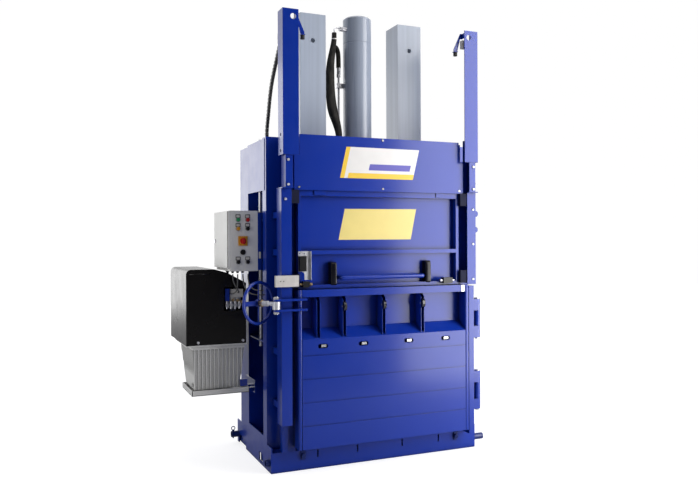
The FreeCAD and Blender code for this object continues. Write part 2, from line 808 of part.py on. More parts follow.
def press_platen():
    """The welded press plate, with strap grooves across its underside."""
    half = half_chamber - platen_gap
    depth = (chamber_front + platen_gap, chamber_back - platen_gap)
    top = platen_bottom + platen_height
    web_z = (platen_bottom + platen_skin, top)
    pieces = [box((-half, half), depth, (platen_bottom, platen_bottom + platen_skin))]
    for y in (depth[0], tube_y - tube_half, tube_y + tube_half - platen_rib, depth[1] - platen_rib):
        pieces.append(box((-half, half), (y, y + platen_rib), web_z))
    # Ribs at the edges, under the tubes' sides and beside the rod, from the left.
    rib_x = (-half, -tube_x - tube_half, -tube_x + tube_half - platen_rib, -rod_diameter,
             rod_diameter - platen_rib, tube_x - tube_half, tube_x + tube_half - platen_rib,
             half - platen_rib)
    for x in rib_x:
        pieces.append(box((x, x + platen_rib), depth, web_z))
    pieces.append(box((-rod_diameter, rod_diameter), (tube_y - rod_diameter, tube_y + rod_diameter),
                      (top - platen_skin, top)))
    platen = fuse(pieces)
    grooves = []
    for x in strap_x:
        grooves.append(box((x - strap_floor_slot / 2, x + strap_floor_slot / 2),
                           (depth[0] - 1, depth[1] + 1),
                           (platen_bottom - 1, platen_bottom + platen_skin / 2)))
    return cut(platen, grooves)


def ram_guide_tubes():
    """The two square tubes that rise and fall with the press plate."""
    x = (tube_x - tube_half, tube_x + tube_half)
    y = (tube_y - tube_half, tube_y + tube_half)
    tube = square_tube(x, y, (platen_bottom + platen_height, tube_top), tube_wall, "z")
    hole = cylinder(2 * tube_hole_radius, (tube_x, y[0] - 1, tube_hole_z), (tube_x, y[1] + 1, tube_hole_z))
    return both(tube.cut(hole))


def revolve(profile, x, y):
    """A turned piece from an outline of (radius, height) points, about a vertical axis."""
    corners = [Vector(x + r, y, z) for r, z in profile]
    face = Part.Face(Part.makePolygon(corners + corners[:1]))
    return face.revolve(Vector(x, y, 0), Vector(0, 0, 1), 360)


def cylinder_barrel():
    """The cylinder's barrel: a closed, domed top end, a weld seam below it and a flange on the beams."""
    outer = barrel_diameter / 2
    bore = barrel_bore / 2
    flange = barrel_flange / 2
    gland = rod_diameter / 2 + running_clearance
    flange_top = beam_top + barrel_flange_thick
    seam_root = outer - barrel_seam_depth
    seam_floor = barrel_seam_half - barrel_seam_depth
    head = barrel_top - barrel_head
    gland_top = barrel_bottom + barrel_flange_thick
    profile = [
        (gland, barrel_bottom),
        (outer, barrel_bottom),
        (outer, beam_top),
        (flange, beam_top),
        (flange, flange_top),
        (outer, flange_top),
        (outer, barrel_seam_z - barrel_seam_half),
        (seam_root, barrel_seam_z - seam_floor),
        (seam_root, barrel_seam_z + seam_floor),
        (outer, barrel_seam_z + barrel_seam_half),
        (outer, barrel_top - barrel_dome),
        (barrel_dome_shoulder * outer, barrel_top - barrel_dome_drop * barrel_dome),
        (barrel_dome_flat * outer, barrel_top),
        (0, barrel_top),
        (0, head),
        (bore, head),
        (bore, gland_top),
        (gland, gland_top),
    ]
    return revolve(profile, 0, tube_y)


def piston_rod():
    """The rod, from the press plate up to the piston in the barrel."""
    rod = rod_diameter / 2
    piston = barrel_bore / 2 - running_clearance
    foot = platen_bottom + platen_height
    piston_z = barrel_bottom + barrel_flange_thick + piston_rest + rod_stroke
    profile = [(0, foot), (rod, foot), (rod, piston_z), (piston, piston_z),
               (piston, piston_z + piston_height), (0, piston_z + piston_height)]
    return revolve(profile, 0, tube_y)


# ================================================================ hoses, fittings and the link chain
def cylinder_hoses():
    """Two sleeved hoses that rise beside the cylinder: one ends in a collar, one turns over to the pipe."""
    front = [(front_hose_foot_x, hose_front_y, hose_foot_z)]
    front += [(x, hose_front_y, z) for x, z in front_hose_bends]
    front.append((hose_x, hose_front_y, collar_top_z))
    back = [(back_hose_foot_x, hose_back_y, hose_foot_z)]
    back += [(x, hose_back_y, z) for x, z in back_hose_bends]
    back.append((hose_x, hose_back_y, turn_top_z))
    back.append((steel_pipe_x, hose_back_y, turn_top_z))
    back.append((steel_pipe_x, hose_back_y, fitting_z[1]))
    return Part.makeCompound([tube_path(front, hose_diameter), tube_path(back, back_hose_diameter)])


def hydraulic_pipes():
    """The steel pipe at the cylinder with its clamp, the small pipe to the port, and the riser."""
    x, y = steel_pipe_x, hose_back_y
    nut_top = fitting_z[0] + fitting_nut_height
    nut = hex_head(fitting_nut_across, (x, y, fitting_z[0]), (x, y, nut_top))
    ferrule = cylinder(ferrule_diameter, (x, y, nut_top), (x, y, fitting_z[1]))
    pipe = cylinder(steel_pipe_diameter, (x, y, beam_top), (x, y, fitting_z[0]))
    clamp = box(pipe_clamp_x, (y - pipe_clamp_half, y + pipe_clamp_half), pipe_clamp_z)
    barrel = cylinder(barrel_diameter + barrel_fit, (0, tube_y, beam_top), (0, tube_y, barrel_top))
    lower = fuse([nut, ferrule, pipe, clamp]).cut(barrel)

    left = -barrel_diameter / 2
    y = hose_front_y
    nut_x = left - port_reach
    port = cylinder(port_diameter, (nut_x, y, port_z), (left + port_root, y, port_z))
    port_nut = hex_head(port_nut_across, (nut_x - port_nut_length, y, port_z), (nut_x, y, port_z))
    pipe_z = port_z + port_pipe_rise
    small_pipe = tube_path([(hose_x, y, collar_top_z), (hose_x, y, pipe_z), (port_pipe_end_x, y, pipe_z)],
                           port_pipe_diameter, port_pipe_bend)
    upper = fuse([port, port_nut, small_pipe]).cut(barrel)
    return Part.makeCompound([lower, upper, riser_pipe()])


def chain_stations():
    """Points one link apart along a smooth curve through the chain's route, with their directions."""
    spline = Part.BSplineCurve()
    spline.interpolate([Vector(chain_x, y, z) for y, z in chain_curve])
    length = spline.length()
    count = int(length // chain_link)
    stations = []
    for step in range(count):
        here = spline.parameterAtDistance((step + 0.5) * length / count)
        stations.append((spline.value(here), spline.tangent(here)[0], length / count))
    return stations


def cable_carrier():
    """Plastic links, each a low body with a bridge that stands proud on the outside of the bow."""
    links = []
    low, high = -chain_height / 2, chain_height / 2
    for centre, along, pitch in chain_stations():
        out = along.cross(Vector(1, 0, 0))
        if out.y < 0:
            out = out * -1.0
        half = pitch / 2 - chain_gap / 2
        side = [(-half + chain_bevel, low), (half - chain_bevel, low), (half, -chain_waist),
                (half, chain_waist), (chain_bridge[1] * half, high), (chain_bridge[0] * half, high),
                (-half, chain_waist), (-half, -chain_waist)]
        corners = [centre + along * a + out * b - Vector(chain_width / 2, 0, 0) for a, b in side]
        face = Part.Face(Part.makePolygon(corners + corners[:1]))
        links.append(face.extrude(Vector(chain_width, 0, 0)))
    return Part.makeCompound(links)


def chain_brackets():
    """The angle on the side frame and the plate on the post that hold the chain's ends."""
    inner = chain_x + chain_width / 2
    first, last = chain_curve[0], chain_curve[-1]
    y = (first[0] - chain_angle_half, first[0] + chain_angle_half)
    sheet = chain_angle_sheet
    base = first[1] - chain_gap
    plate_x = -half_width + column_plate
    lower = fuse([
        box((chain_x - chain_width / 2, inner), y, (base - sheet, base)),
        box((plate_x, inner), y, (base - 2 * sheet, base - sheet)),
        box((plate_x, plate_x + sheet), y, (frame_rib_z[-1] + column_plate, base - sheet)),
    ])
    upper = box((-post_x[1], inner), (post_y[1], post_y[1] + chain_plate),
                (last[1] - chain_plate_z[0], last[1] + chain_plate_z[1]))
    return [lower, upper]


# ================================================================ guides, inserts and posts
def channel(x, y, z, thick):
    """A C channel on the right side that opens towards the machine's middle."""
    return box(x, y, z).cut(box((x[0] - 1, x[1] - thick), inset(y, thick), z))


def guide(bottom, lug_z):
    """A right-hand guide channel and the lugs that hold it on the side frame's front flange."""
    pieces = [channel((guide_lip_x, guide_web_x), guide_y, (bottom, guide_top), guide_wall)]
    for z in lug_z:
        pieces.append(box((guide_lip_x + guide_lug_inset, guide_web_x), (guide_y[1], column_front_y),
                          (z, z + guide_lug_height)))
    return pieces


def door_guides():
    """The loading door's channels: the right one is short, the left one runs down to the base."""
    right = guide(right_guide_bottom, right_lug_z)
    left = guide(left_guide_bottom, left_lug_z)
    sole_bottom = left_guide_bottom - guide_sole
    left.append(square_tube(guide_foot_x, (guide_foot_front, -half_depth), (guide_foot_bottom, sole_bottom),
                            guide_foot_wall, "z"))
    left.append(box((guide_lip_x, guide_web_x), guide_y, (sole_bottom, left_guide_bottom)))
    return Part.makeCompound(right + [mirrored(piece) for piece in left])


def guide_insert():
    """The shorter channel that joins a guide to its post, on a small foot plate."""
    body = channel(insert_x, insert_y, (guide_top, post_bottom + insert_overlap), insert_wall)
    foot = box(insert_foot_x, (insert_y[0], guide_y[1] - guide_wall), (guide_top, guide_top + insert_foot))
    way = box((insert_foot_x[0] - 1, insert_x[1] - insert_wall), inset(insert_y, insert_wall),
              (guide_top - 1, guide_top + insert_foot + 1))
    return fuse([body, foot.cut(way)])


def posts():
    """The two upper posts, angle sections on their inserts, with holes in both legs."""
    front_leg = (post_y[0], post_y[0] + insert_wall)
    side_leg = (post_x[1] - insert_wall, post_x[1])
    post = fuse([box(post_x, front_leg, (post_bottom, post_top)),
                 box(side_leg, post_y, (post_bottom, post_top))])
    hole_x = post_x[0] + post_hole_inset
    hole_z = post_top - post_hole_drop
    holes = [cylinder(post_hole_diameter, (hole_x, front_leg[0] - 1, hole_z),
                      (hole_x, front_leg[1] + 1, hole_z))]
    for rise in post_side_hole_rise:
        z = post_bottom + rise
        holes.append(cylinder(post_side_hole_diameter, (side_leg[0] - 1, post_side_hole_y, z),
                              (side_leg[1] + 1, post_side_hole_y, z)))
    post = cut(post, holes)
    insert = guide_insert()
    return Part.makeCompound([post, mirrored(post), insert, mirrored(insert)])


def stop_arms():
    """Bent plates inside the posts that carry the rubber buffers."""
    web = post_x[1] - insert_wall
    underside = cover_top + door_travel + buffer_gap + buffer_height
    inner, outer = buffer_x + stop_arm_tip[0], buffer_x + stop_arm_tip[1]
    outline = [(web, stop_arm_top), (stop_arm_bend_x, stop_arm_top), (inner, underside + stop_arm_nose[0]),
               (inner, underside), (outer - stop_arm_half, underside), (outer, underside + stop_arm_nose[1]),
               (stop_arm_heel_x, stop_arm_root), (web, stop_arm_root)]
    arm = prism(outline, "xz", buffer_y - stop_arm_half, buffer_y + stop_arm_half)
    shoe = box((buffer_x - stop_shoe_half, buffer_x + stop_shoe_half),
               (buffer_y - stop_shoe_half, buffer_y + stop_shoe_half),
               (underside, underside + stop_shoe_thick))
    return both(fuse([arm, shoe]))


def rubber_buffers():
    """Rubber stops for the raised loading door."""
    low = cover_top + door_travel + buffer_gap
    buffer = cylinder(buffer_diameter, (buffer_x, buffer_y, low), (buffer_x, buffer_y, low + buffer_height))
    return both(buffer)


def top_sensor():
    """The switch on the right stop arm that feels the raised door."""
    return box(top_sensor_x, (buffer_y + top_sensor_y[0], buffer_y + top_sensor_y[1]), top_sensor_z)


# ================================================================ loading door
def loading_door_frame():
    """The welded door frame: two stiles and three rails, with two hooks on the top rail."""
    y = (door_front, door_front + door_depth)
    half = door_half_width
    pieces = [
        box((-half, -half + door_stile), y, (door_bottom, door_top)),
        box((half - door_stile, half), y, (door_bottom, door_top)),
        box((-half, half), y, (door_top - door_top_rail, door_top)),
        box((-half, half), y, door_mid_rail_z),
        box((-half, half), y, (door_bottom, door_bottom + door_bottom_rail)),
    ]
    for x in hook_x:
        pieces.append(box(x, (door_front - hook_thick, door_front), (hook_bottom, cover_bottom - hook_gap)))
    return fuse(pieces)


def loading_door_panel():
    """The sheet behind the door's frame."""
    back = door_front + door_depth
    return box((-door_half_width, door_half_width), (back, back + door_sheet), (door_bottom, door_top))


def door_cover():
    """The folded cover above the door frame, narrower at the top where it passes between the posts."""
    back = cover_front + cover_sheet
    deep = (back, back + cover_return)
    wide, narrow = cover_half_width, cover_top_half_width
    sheet = cover_sheet
    outline = [(-wide, cover_bottom), (wide, cover_bottom), (wide, cover_step_z), (narrow, cover_step_z),
               (narrow, cover_top), (-narrow, cover_top), (-narrow, cover_step_z), (-wide, cover_step_z)]
    pieces = [prism(outline, "xz", cover_front, back)]
    pieces.append(box((-narrow, narrow), deep, (cover_top - sheet, cover_top)))
    pieces.append(box((-door_half_width, door_half_width), (back, door_front + door_depth),
                      (door_top, door_top + sheet)))
    for side in (-1, 1):
        pieces.append(box((side * (wide - sheet), side * wide), deep, (door_top, cover_step_z)))
        pieces.append(box((side * (narrow - sheet), side * narrow), deep, (cover_step_z - sheet, cover_top)))
        pieces.append(box((side * narrow, side * wide), deep, (cover_step_z - sheet, cover_step_z)))
    return fuse(pieces)


def slide_blocks():
    """Four blocks at the door's edges that run in the guides."""
    blocks = []
    block_y = (guide_y[0] + guide_wall + block_gap, block_back_y)
    for z in (lower_block_z, upper_block_z):
        block = box((door_half_width, block_end_x), block_y, (z, z + block_height))
        blocks += [block, mirrored(block)]
    return Part.makeCompound(blocks)


def door_grips():
    """Two black bows that stand out from the door panel and hold the tube handle."""
    left = grip_x[0]
    front = panel_front - grip_reach
    shoulder = front + grip_shoulder
    points = [
        Vector(left, panel_front, grip_z[0]),
        Vector(left, shoulder, grip_z[0] + grip_corner),
        Vector(left, front, sum(grip_z) / 2),
        Vector(left, shoulder, grip_z[1] - grip_corner),
        Vector(left, panel_front, grip_z[1]),
    ]
    outline = Part.Wire([
        Part.makeLine(points[0], points[1]),
        Part.Arc(points[1], points[2], points[3]).toShape(),
        Part.makeLine(points[3], points[4]),
        Part.makeLine(points[4], points[0]),
    ])
    bow = Part.Face(outline).extrude(Vector(grip_x[1] - left, 0, 0))
    front_edges = [edge for edge in bow.Edges
                   if edge.BoundBox.XLength < 0.1 and edge.BoundBox.YMin < shoulder - 4]
    bow = bow.makeFillet(grip_round, front_edges)
    rail = box((-door_half_width, door_half_width), (door_front, panel_front),
               (door_bottom, door_bottom + door_bottom_rail))
    return both(bow.cut(rail))


def door_handle():
    """The tube handle between the grips."""
    return cylinder(handle_diameter, (-grip_x[0], handle_y, handle_z), (grip_x[0], handle_y, handle_z))


def latch_housings():
    """The housings of the two spring bolts on the door's bottom rail, and the interlock's head."""
    bodies = []
    for x in (left_latch_body_x, right_latch_body_x):
        body = box(x, (latch_y - latch_body_front, door_front), latch_body_z)
        bore = cylinder(latch_pin_diameter + 2 * running_clearance, (x[0] - 1, latch_y, latch_z),
                        (x[1] + 1, latch_y, latch_z))
        bodies.append(body.cut(bore))
    return Part.makeCompound(bodies + [interlock_switch()])


def latch_pin(knob_x, tip_x):
    """A spring bolt: a round pin with a turned knob on its inner end."""
    pin = cylinder(latch_pin_diameter, (knob_x, latch_y, latch_z), (tip_x, latch_y, latch_z))
    knob_end = knob_x + math.copysign(latch_knob_length, knob_x - tip_x)
    knob = cylinder(latch_knob_diameter, (knob_x, latch_y, latch_z), (knob_end, latch_y, latch_z))
    return fuse([pin, knob])


def latch_pin_left():
    """The left spring bolt, which points to the left."""
    return latch_pin(left_latch_body_x[1] + latch_knob_gap, left_latch_body_x[0] - latch_pin_reach)


def latch_pin_right():
    """The right spring bolt, which points to the right."""
    return latch_pin(right_latch_body_x[0] - latch_knob_gap, right_latch_body_x[1] + latch_pin_reach)


def interlock_plate():
    """The galvanised plate on the door's left stile, with a folded edge."""
    left, right = plate_x
    low, high = plate_z
    front = door_front - plate_sheet
    step_x, step_z = plate_notch[0]
    outline = [(left, high), (right, high), (right, low), (step_x, low), (step_x, step_z), plate_notch[1],
               (left, plate_notch[1][1])]
    plate = prism(outline, "xz", front, door_front)
    fold = box((right - plate_sheet, right), (door_front - plate_fold, front), plate_z)
    holes = []
    for x in plate_hole_x:
        holes.append(cylinder(plate_hole_diameter, (x, front - 1, plate_hole_z),
                              (x, door_front + 1, plate_hole_z)))
    return cut(fuse([plate, fold]), holes)


def interlock_switch():
    """The black switch head on the plate."""
    front = door_front - actuator_front
    body = box(actuator_x, (front, door_front - plate_sheet), actuator_z)
    front_edges = [edge for edge in body.Edges if edge.BoundBox.YMax < front + 1]
    return body.makeFillet(actuator_round, front_edges)


def switch_boxes():
    """The light box on the left guide beside the left bolt, and the sensor high on the right."""
    body = box(light_box_x, (light_box_front, guide_y[0]), light_box_z)
    step_left = light_box_x[1] - light_box_step[0]
    step = box((step_left, light_box_x[1] + 1), (light_box_front - 1, light_box_front + light_box_step[1]),
               (light_box_z[0] - 1, light_box_z[1] + 1))
    return Part.makeCompound([body.cut(step), top_sensor()])


# ================================================================ bale door
def bale_door_frame():
    """Back plate, rounded stiles and top beam of the bale door, with the recess open to the front."""
    back_skin = (bale_back - bale_skin, bale_back)
    full_z = (bale_bottom, bale_top)
    left = (bale_left, bale_left + bale_left_strip)
    right = (bale_right - bale_right_strip, bale_right)
    strips = []
    for x in (left, right):
        strip = box(x, (bale_front, back_skin[0]), full_z)
        front_edges = [edge for edge in strip.Edges
                       if edge.BoundBox.YMax < bale_front + 0.1 and edge.BoundBox.ZLength > 100]
        strips.append(strip.makeFillet(strip_round, front_edges))
    frame = fuse([
        box((bale_left, bale_right), back_skin, full_z),
        box((left[1], right[0]), (bale_front, back_skin[0]), (beam_bottom, bale_top)),
    ] + strips)
    return Part.makeCompound([frame] + lock_bars())


def bale_door_panel():
    """The lower front of the door: a grooved sheet that turns back into the sloping shelf."""
    x = (bale_left + bale_left_strip, bale_right - bale_right_strip)
    back = bale_back - bale_skin
    outer = [(bale_front, bale_bottom), (bale_front, shelf_front_z), (back, shelf_back_z),
             (back, bale_bottom)]
    t = bale_sheet
    inner = [(bale_front + t, bale_bottom + t), (bale_front + t, shelf_front_z - t),
             (back - t, shelf_back_z - shelf_lip), (back - t, bale_bottom + t)]
    panel = prism(outer, "yz", x[0], x[1]).cut(prism(inner, "yz", x[0] - 1, x[1] + 1))
    cuts = []
    for z in groove_z:
        cuts.append(box((x[0] - 1, x[1] + 1), (bale_front - 1, bale_front + groove_depth),
                        (z - groove_width / 2, z + groove_width / 2)))
    for centre in strap_x:
        cuts.append(oblong(centre, strap_eye_z, strap_eye[0], strap_eye[1], bale_front - 1,
                           bale_front + t + 1))
    return cut(panel, cuts)


def oblong(x, z, length, height, y0, y1):
    """A slot shape with round ends, lying along X and running from y0 to y1."""
    reach = length / 2 - height / 2
    middle = box((x - reach, x + reach), (y0, y1), (z - height / 2, z + height / 2))
    ends = [cylinder(height, (x + s * reach, y0, z), (x + s * reach, y1, z)) for s in (-1, 1)]
    return fuse([middle] + ends)


def shelf_z(y):
    """Height of the shelf's top at a depth y."""
    back = bale_back - bale_skin
    return shelf_front_z + (y - bale_front) * (shelf_back_z - shelf_front_z) / (back - bale_front)


def strap_fins():
    """Pairs of plates in the recess that lead the straps over the rollers."""
    back = bale_back - bale_skin
    outline = [(back, shelf_z(back) + fin_clear), (back, beam_bottom), (fin_front + fin_chin[0], beam_bottom),
               (fin_front, fin_chin[1]), (fin_front, shelf_z(fin_front) + fin_clear)]
    fins = []
    for number, centre in enumerate(fin_pair_x):
        for side in (-1, 1):
            near = centre + side * fin_gap / 2
            far = near + side * fin_sheet
            fin = prism(outline, "yz", min(near, far), max(near, far))
            if number > 0:
                hole = cylinder(axle_diameter + axle_clearance, (near - fin_gap / 2, roller_y, roller_z),
                                (near + fin_gap / 2, roller_y, roller_z))
                fin = fin.cut(hole)
            fins.append(fin)
    return Part.makeCompound(fins)


def strap_roller(centre):
    """A turned black roller with a shallow strap groove."""
    half = fin_gap / 2 - roller_gap
    bore = axle_diameter / 2 + running_clearance
    rim = roller_diameter / 2
    floor = rim - roller_groove
    flank = half - roller_lip
    bed = flank - roller_groove
    profile = [(bore, -half), (rim, -half), (rim, -flank), (floor, -bed), (floor, bed), (rim, flank),
               (rim, half), (bore, half)]
    corners = [Vector(centre + a, roller_y, roller_z + r) for r, a in profile]
    face = Part.Face(Part.makePolygon(corners + corners[:1]))
    return face.revolve(Vector(centre, roller_y, roller_z), Vector(1, 0, 0), 360)


def door_pins():
    """Steel pins on the bale door: the lock's pivot bolt and the three roller axles."""
    pins = []
    for centre in fin_pair_x[1:]:
        reach = fin_gap / 2 + fin_sheet
        pin = cylinder(axle_diameter, (centre - reach - axle_end, roller_y, roller_z),
                       (centre + reach + 1, roller_y, roller_z))
        head = cylinder(axle_head[0], (centre + reach + axle_head_stand, roller_y, roller_z),
                        (centre + reach + axle_head[1], roller_y, roller_z))
        pins.append(fuse([pin, head]))
    top = lock_bar_z[1] + lock_bar_thick
    bottom = lock_bar_z[0]
    bolt = fuse([
        cylinder(lock_pin_diameter, (lock_x, lock_y, bottom - lock_bolt_reach),
                 (lock_x, lock_y, top + lock_bolt_reach)),
        hex_head(lock_bolt_across, (lock_x, lock_y, top + lock_bolt_stand),
                 (lock_x, lock_y, top + lock_bolt_stand + lock_bolt_head)),
        hex_head(lock_bolt_across, (lock_x, lock_y, bottom - lock_bolt_stand - lock_bolt_head),
                 (lock_x, lock_y, bottom - lock_bolt_stand)),
    ])
    return Part.makeCompound(pins + [bolt])


def lock_bars():
    """Two flat bars on the door's front that reach past its left edge to the lock's pivot."""
    bars = []
    eye = lock_bar_depth / 2
    for z in lock_bar_z:
        levels = (z, z + lock_bar_thick)
        arm = box((lock_x, lock_bar_right), (lock_y - eye, bale_front), levels)
        end = cylinder(2 * eye, (lock_x, lock_y, levels[0]), (lock_x, lock_y, levels[1]))
        hole = cylinder(lock_pin_diameter + lock_pin_clearance, (lock_x, lock_y, z - 1),
                        (lock_x, lock_y, levels[1] + 1))
        bars.append(fuse([arm, end]).cut(hole))
    return bars


def hinge_stile():
    """The heavy bar on the door's right edge, with four knuckles."""
    pieces = [box(stile_x, (bale_front, bale_back - bale_skin - stile_gap), (stile_bottom, stile_top))]
    for z in knuckles_z:
        pieces.append(box((stile_x[1], hinge_x), (hinge_y - knuckle_radius, hinge_y + knuckle_radius), z))
        pieces.append(cylinder(2 * knuckle_radius, (hinge_x, hinge_y, z[0]), (hinge_x, hinge_y, z[1])))
    bore = cylinder(hinge_pin_diameter + 2 * running_clearance, (hinge_x, hinge_y, 0),
                    (hinge_x, hinge_y, stile_top))
    return fuse(pieces).cut(bore)


def hinge_spans():
    """The heights of the two barrels that the frame has between the door's knuckles."""
    lower = (knuckles_z[0][1] + hinge_gap, knuckles_z[1][0] - hinge_gap)
    upper = (knuckles_z[2][1] + hinge_gap, knuckles_z[3][0] - hinge_gap)
    return lower, upper


def hinge_brackets():
    """Barrels on arms from the right side frame."""
    brackets = []
    for span in hinge_spans():
        arm = box((hinge_x - hinge_arm_half, hinge_x + hinge_arm_half), (hinge_y, column_front_y), span)
        barrel = cylinder(2 * knuckle_radius, (hinge_x, hinge_y, span[0]), (hinge_x, hinge_y, span[1]))
        hole = cylinder(hinge_pin_diameter + hinge_pin_clearance, (hinge_x, hinge_y, span[0] - 1),
                        (hinge_x, hinge_y, span[1] + 1))
        brackets.append(fuse([arm, barrel]).cut(hole))
    return brackets


def hinge_pins():
    """Two pins, each through two of the door's knuckles and the frame's barrel between them."""
    pins = []
    for low, high in ((knuckles_z[0], knuckles_z[1]), (knuckles_z[2], knuckles_z[3])):
        head_z = high[1] + hinge_pin_stand
        shank = cylinder(hinge_pin_diameter, (hinge_x, hinge_y, low[0] - hinge_pin_foot),
                         (hinge_x, hinge_y, head_z + 1))
        head = cylinder(hinge_pin_head[0], (hinge_x, hinge_y, head_z),
                        (hinge_x, hinge_y, head_z + hinge_pin_head[1]))
        pins.append(fuse([shank, head]))
    return Part.makeCompound(pins)


# ================================================================ lock spindle and handwheel
spindle_way = Vector(math.cos(math.radians(lock_angle)), math.sin(math.radians(lock_angle)), 0)


def along_spindle(distance):
    """The point on the spindle's axis at a distance from its pin."""
    return (lock_x + spindle_way.x * distance, lock_y + spindle_way.y * distance, lock_z)


def lock_spindle():
    """The swinging screw: an eye round the pivot bolt, a stepped shank and a threaded end."""
    eye_z = (lock_bar_z[0] + lock_bar_thick + eye_gap, lock_bar_z[1] - eye_gap)
    eye = cylinder(2 * eye_radius, (lock_x, lock_y, eye_z[0]), (lock_x, lock_y, eye_z[1]))
    shoulder = cylinder(spindle_diameter, along_spindle(0), along_spindle(shoulder_end))
    shank = cylinder(spindle_neck, along_spindle(shoulder_end), along_spindle(spindle_end))
    body = fuse([eye, shoulder, shank])
    bore = cylinder(lock_pin_diameter + 2 * running_clearance, (lock_x, lock_y, eye_z[0] - 1),
                    (lock_x, lock_y, eye_z[1] + 1))
    return Part.makeCompound([body.cut(bore), lock_sleeve()])


def lock_sleeve():
    """The grey thrust sleeve that slides on the spindle in front of the nut."""
    sleeve = cylinder(sleeve_diameter, along_spindle(sleeve_s[0]), along_spindle(sleeve_s[1]))
    bore = cylinder(spindle_neck + sleeve_clearance, along_spindle(sleeve_s[0] - 1),
                    along_spindle(sleeve_s[1] + 1))
    return sleeve.cut(bore)


def lock_nut():
    """The brass nut pressed into the handwheel's hub."""
    body = fuse([hex_head(nut_across, along_spindle(nut_s[0]), along_spindle(nut_s[1])),
                 cylinder(nut_barrel, along_spindle(nut_s[1]), along_spindle(hub_s[0]))])
    bore = cylinder(spindle_neck + 2 * running_clearance, along_spindle(nut_s[0] - 1),
                    along_spindle(hub_s[0] + 1))
    return body.cut(bore)


def handwheel():
    """A round rim on a flat bar across the hub and a thin rod up and down."""
    centre = Vector(*along_spindle(sum(hub_s) / 2))
    across = Vector(-spindle_way.y, spindle_way.x, 0)
    rim_radius = wheel_radius - wheel_rim / 2
    up = Vector(0, 0, wheel_bar_half_height)
    back = centre - spindle_way * wheel_bar_half_thick
    corners = [back + across * rim_radius + up, back - across * rim_radius + up,
               back - across * rim_radius - up, back + across * rim_radius - up]
    bar = Part.Face(Part.makePolygon(corners + corners[:1]))
    pieces = [
        Part.makeTorus(rim_radius, wheel_rim / 2, centre, spindle_way),
        cylinder(wheel_hub_diameter, along_spindle(hub_s[0]), along_spindle(hub_s[1])),
        bar.extrude(spindle_way * (2 * wheel_bar_half_thick)),
        cylinder(wheel_rod_diameter, centre - Vector(0, 0, rim_radius), centre + Vector(0, 0, rim_radius)),
    ]
    bore = cylinder(spindle_neck + wheel_hub_clearance, along_spindle(hub_s[0] - 1),
                    along_spindle(hub_s[1] + 1))
    return fuse(pieces).cut(bore)


# ================================================================ control box
def control_box():
    """The sheet box: its left side is open and closed by the door, its front carries the controls."""
    shell_x = (box_x[0] + box_door, box_x[1])
    shell = box(shell_x, box_y, box_z)
    hollow = box(inset(shell_x, box_sheet), inset(box_y, box_sheet), inset(box_z, box_sheet))
    window = box((shell_x[0] - 1, shell_x[0] + box_sheet + 1), inset(box_y, box_window_margin),
                 inset(box_door_z, box_window_margin))
    holes = [hollow, window]
    through = (box_y[0] - 1, box_y[0] + box_sheet + 1)
    for x in button_x:
        for z in button_rows_z:
            holes.append(cylinder(button_hole, (x, through[0], z), (x, through[1], z)))
    holes.append(cylinder(main_switch_bore, (main_switch_x, through[0], main_switch_z),
                          (main_switch_x, through[1], main_switch_z)))
    for x in gland_x:
        holes.append(cylinder(gland_hole, (x, 0, box_z[0] - 1), (x, 0, box_z[0] + box_sheet + 1)))
    return cut(shell, holes)


def control_box_door():
    """The lid on the box's left side, folded back round its rim."""
    left = box_x[0]
    lid = box((left, left + box_door - box_lid_gap), box_y, box_door_z)
    hollow = box((left + box_sheet, left + box_door), inset(box_y, box_sheet), inset(box_door_z, box_sheet))
    lock_hole = cylinder(cam_hole, (left - 1, cam_y, cam_z), (left + box_sheet + 1, cam_y, cam_z))
    return cut(lid, [hollow, lock_hole])


def cam_lock():
    """The quarter-turn lock in the box's door."""
    sheet = box_x[0]
    width, thick, down, up = cam_tongue
    head_front = sheet - cam_head[1]
    barrel_end = sheet + cam_barrel[1]
    head = cylinder(cam_head[0], (head_front, cam_y, cam_z), (sheet - cam_gap, cam_y, cam_z))
    barrel = cylinder(cam_barrel[0], (sheet - cam_gap, cam_y, cam_z), (barrel_end, cam_y, cam_z))
    slot = box((head_front - 1, head_front + 3), (cam_y - cam_slot[0] / 2, cam_y + cam_slot[0] / 2),
               (cam_z - cam_slot[1] / 2, cam_z + cam_slot[1] / 2))
    tongue = box((barrel_end - 1 - thick, barrel_end - 1), (cam_y - width / 2, cam_y + width / 2),
                 (cam_z - down, cam_z + up))
    return fuse([head, barrel, tongue]).cut(slot)


def box_hinges():
    """Two barrel hinges at the rear edge of the box's door."""
    x = box_x[0] + box_door
    y = box_y[1] + box_hinge_offset
    pieces = []
    for z in (box_z[0] + box_hinge_inset[0], box_z[1] - box_hinge_inset[1]):
        pieces.append(cylinder(box_hinge_diameter, (x, y, z), (x, y, z + box_hinge_length)))
    return Part.makeCompound(pieces)


def push_button(x, z):
    """A round cap on a stem that goes through the box's front."""
    face = box_y[0]
    back = face + button_depth
    cap_back = face - bezel_height - button_travel - button_gap
    cap = cylinder(button_diameter, (x, cap_back - button_cap, z), (x, cap_back, z))
    stem = cylinder(button_hole - 2 * running_clearance, (x, cap_back - 1, z), (x, back, z))
    keeper = cylinder(button_keeper[0], (x, back - button_keeper[1], z), (x, back, z))
    return fuse([cap, stem, keeper])


def button_bezels():
    """Bright rings under the button caps."""
    face = box_y[0]
    rings = []
    for x in button_x:
        for z in button_rows_z:
            ring = cylinder(button_bezel, (x, face - bezel_height, z), (x, face, z))
            rings.append(ring.cut(cylinder(button_hole, (x, face - 4, z), (x, face + 1, z))))
    return Part.makeCompound(rings)


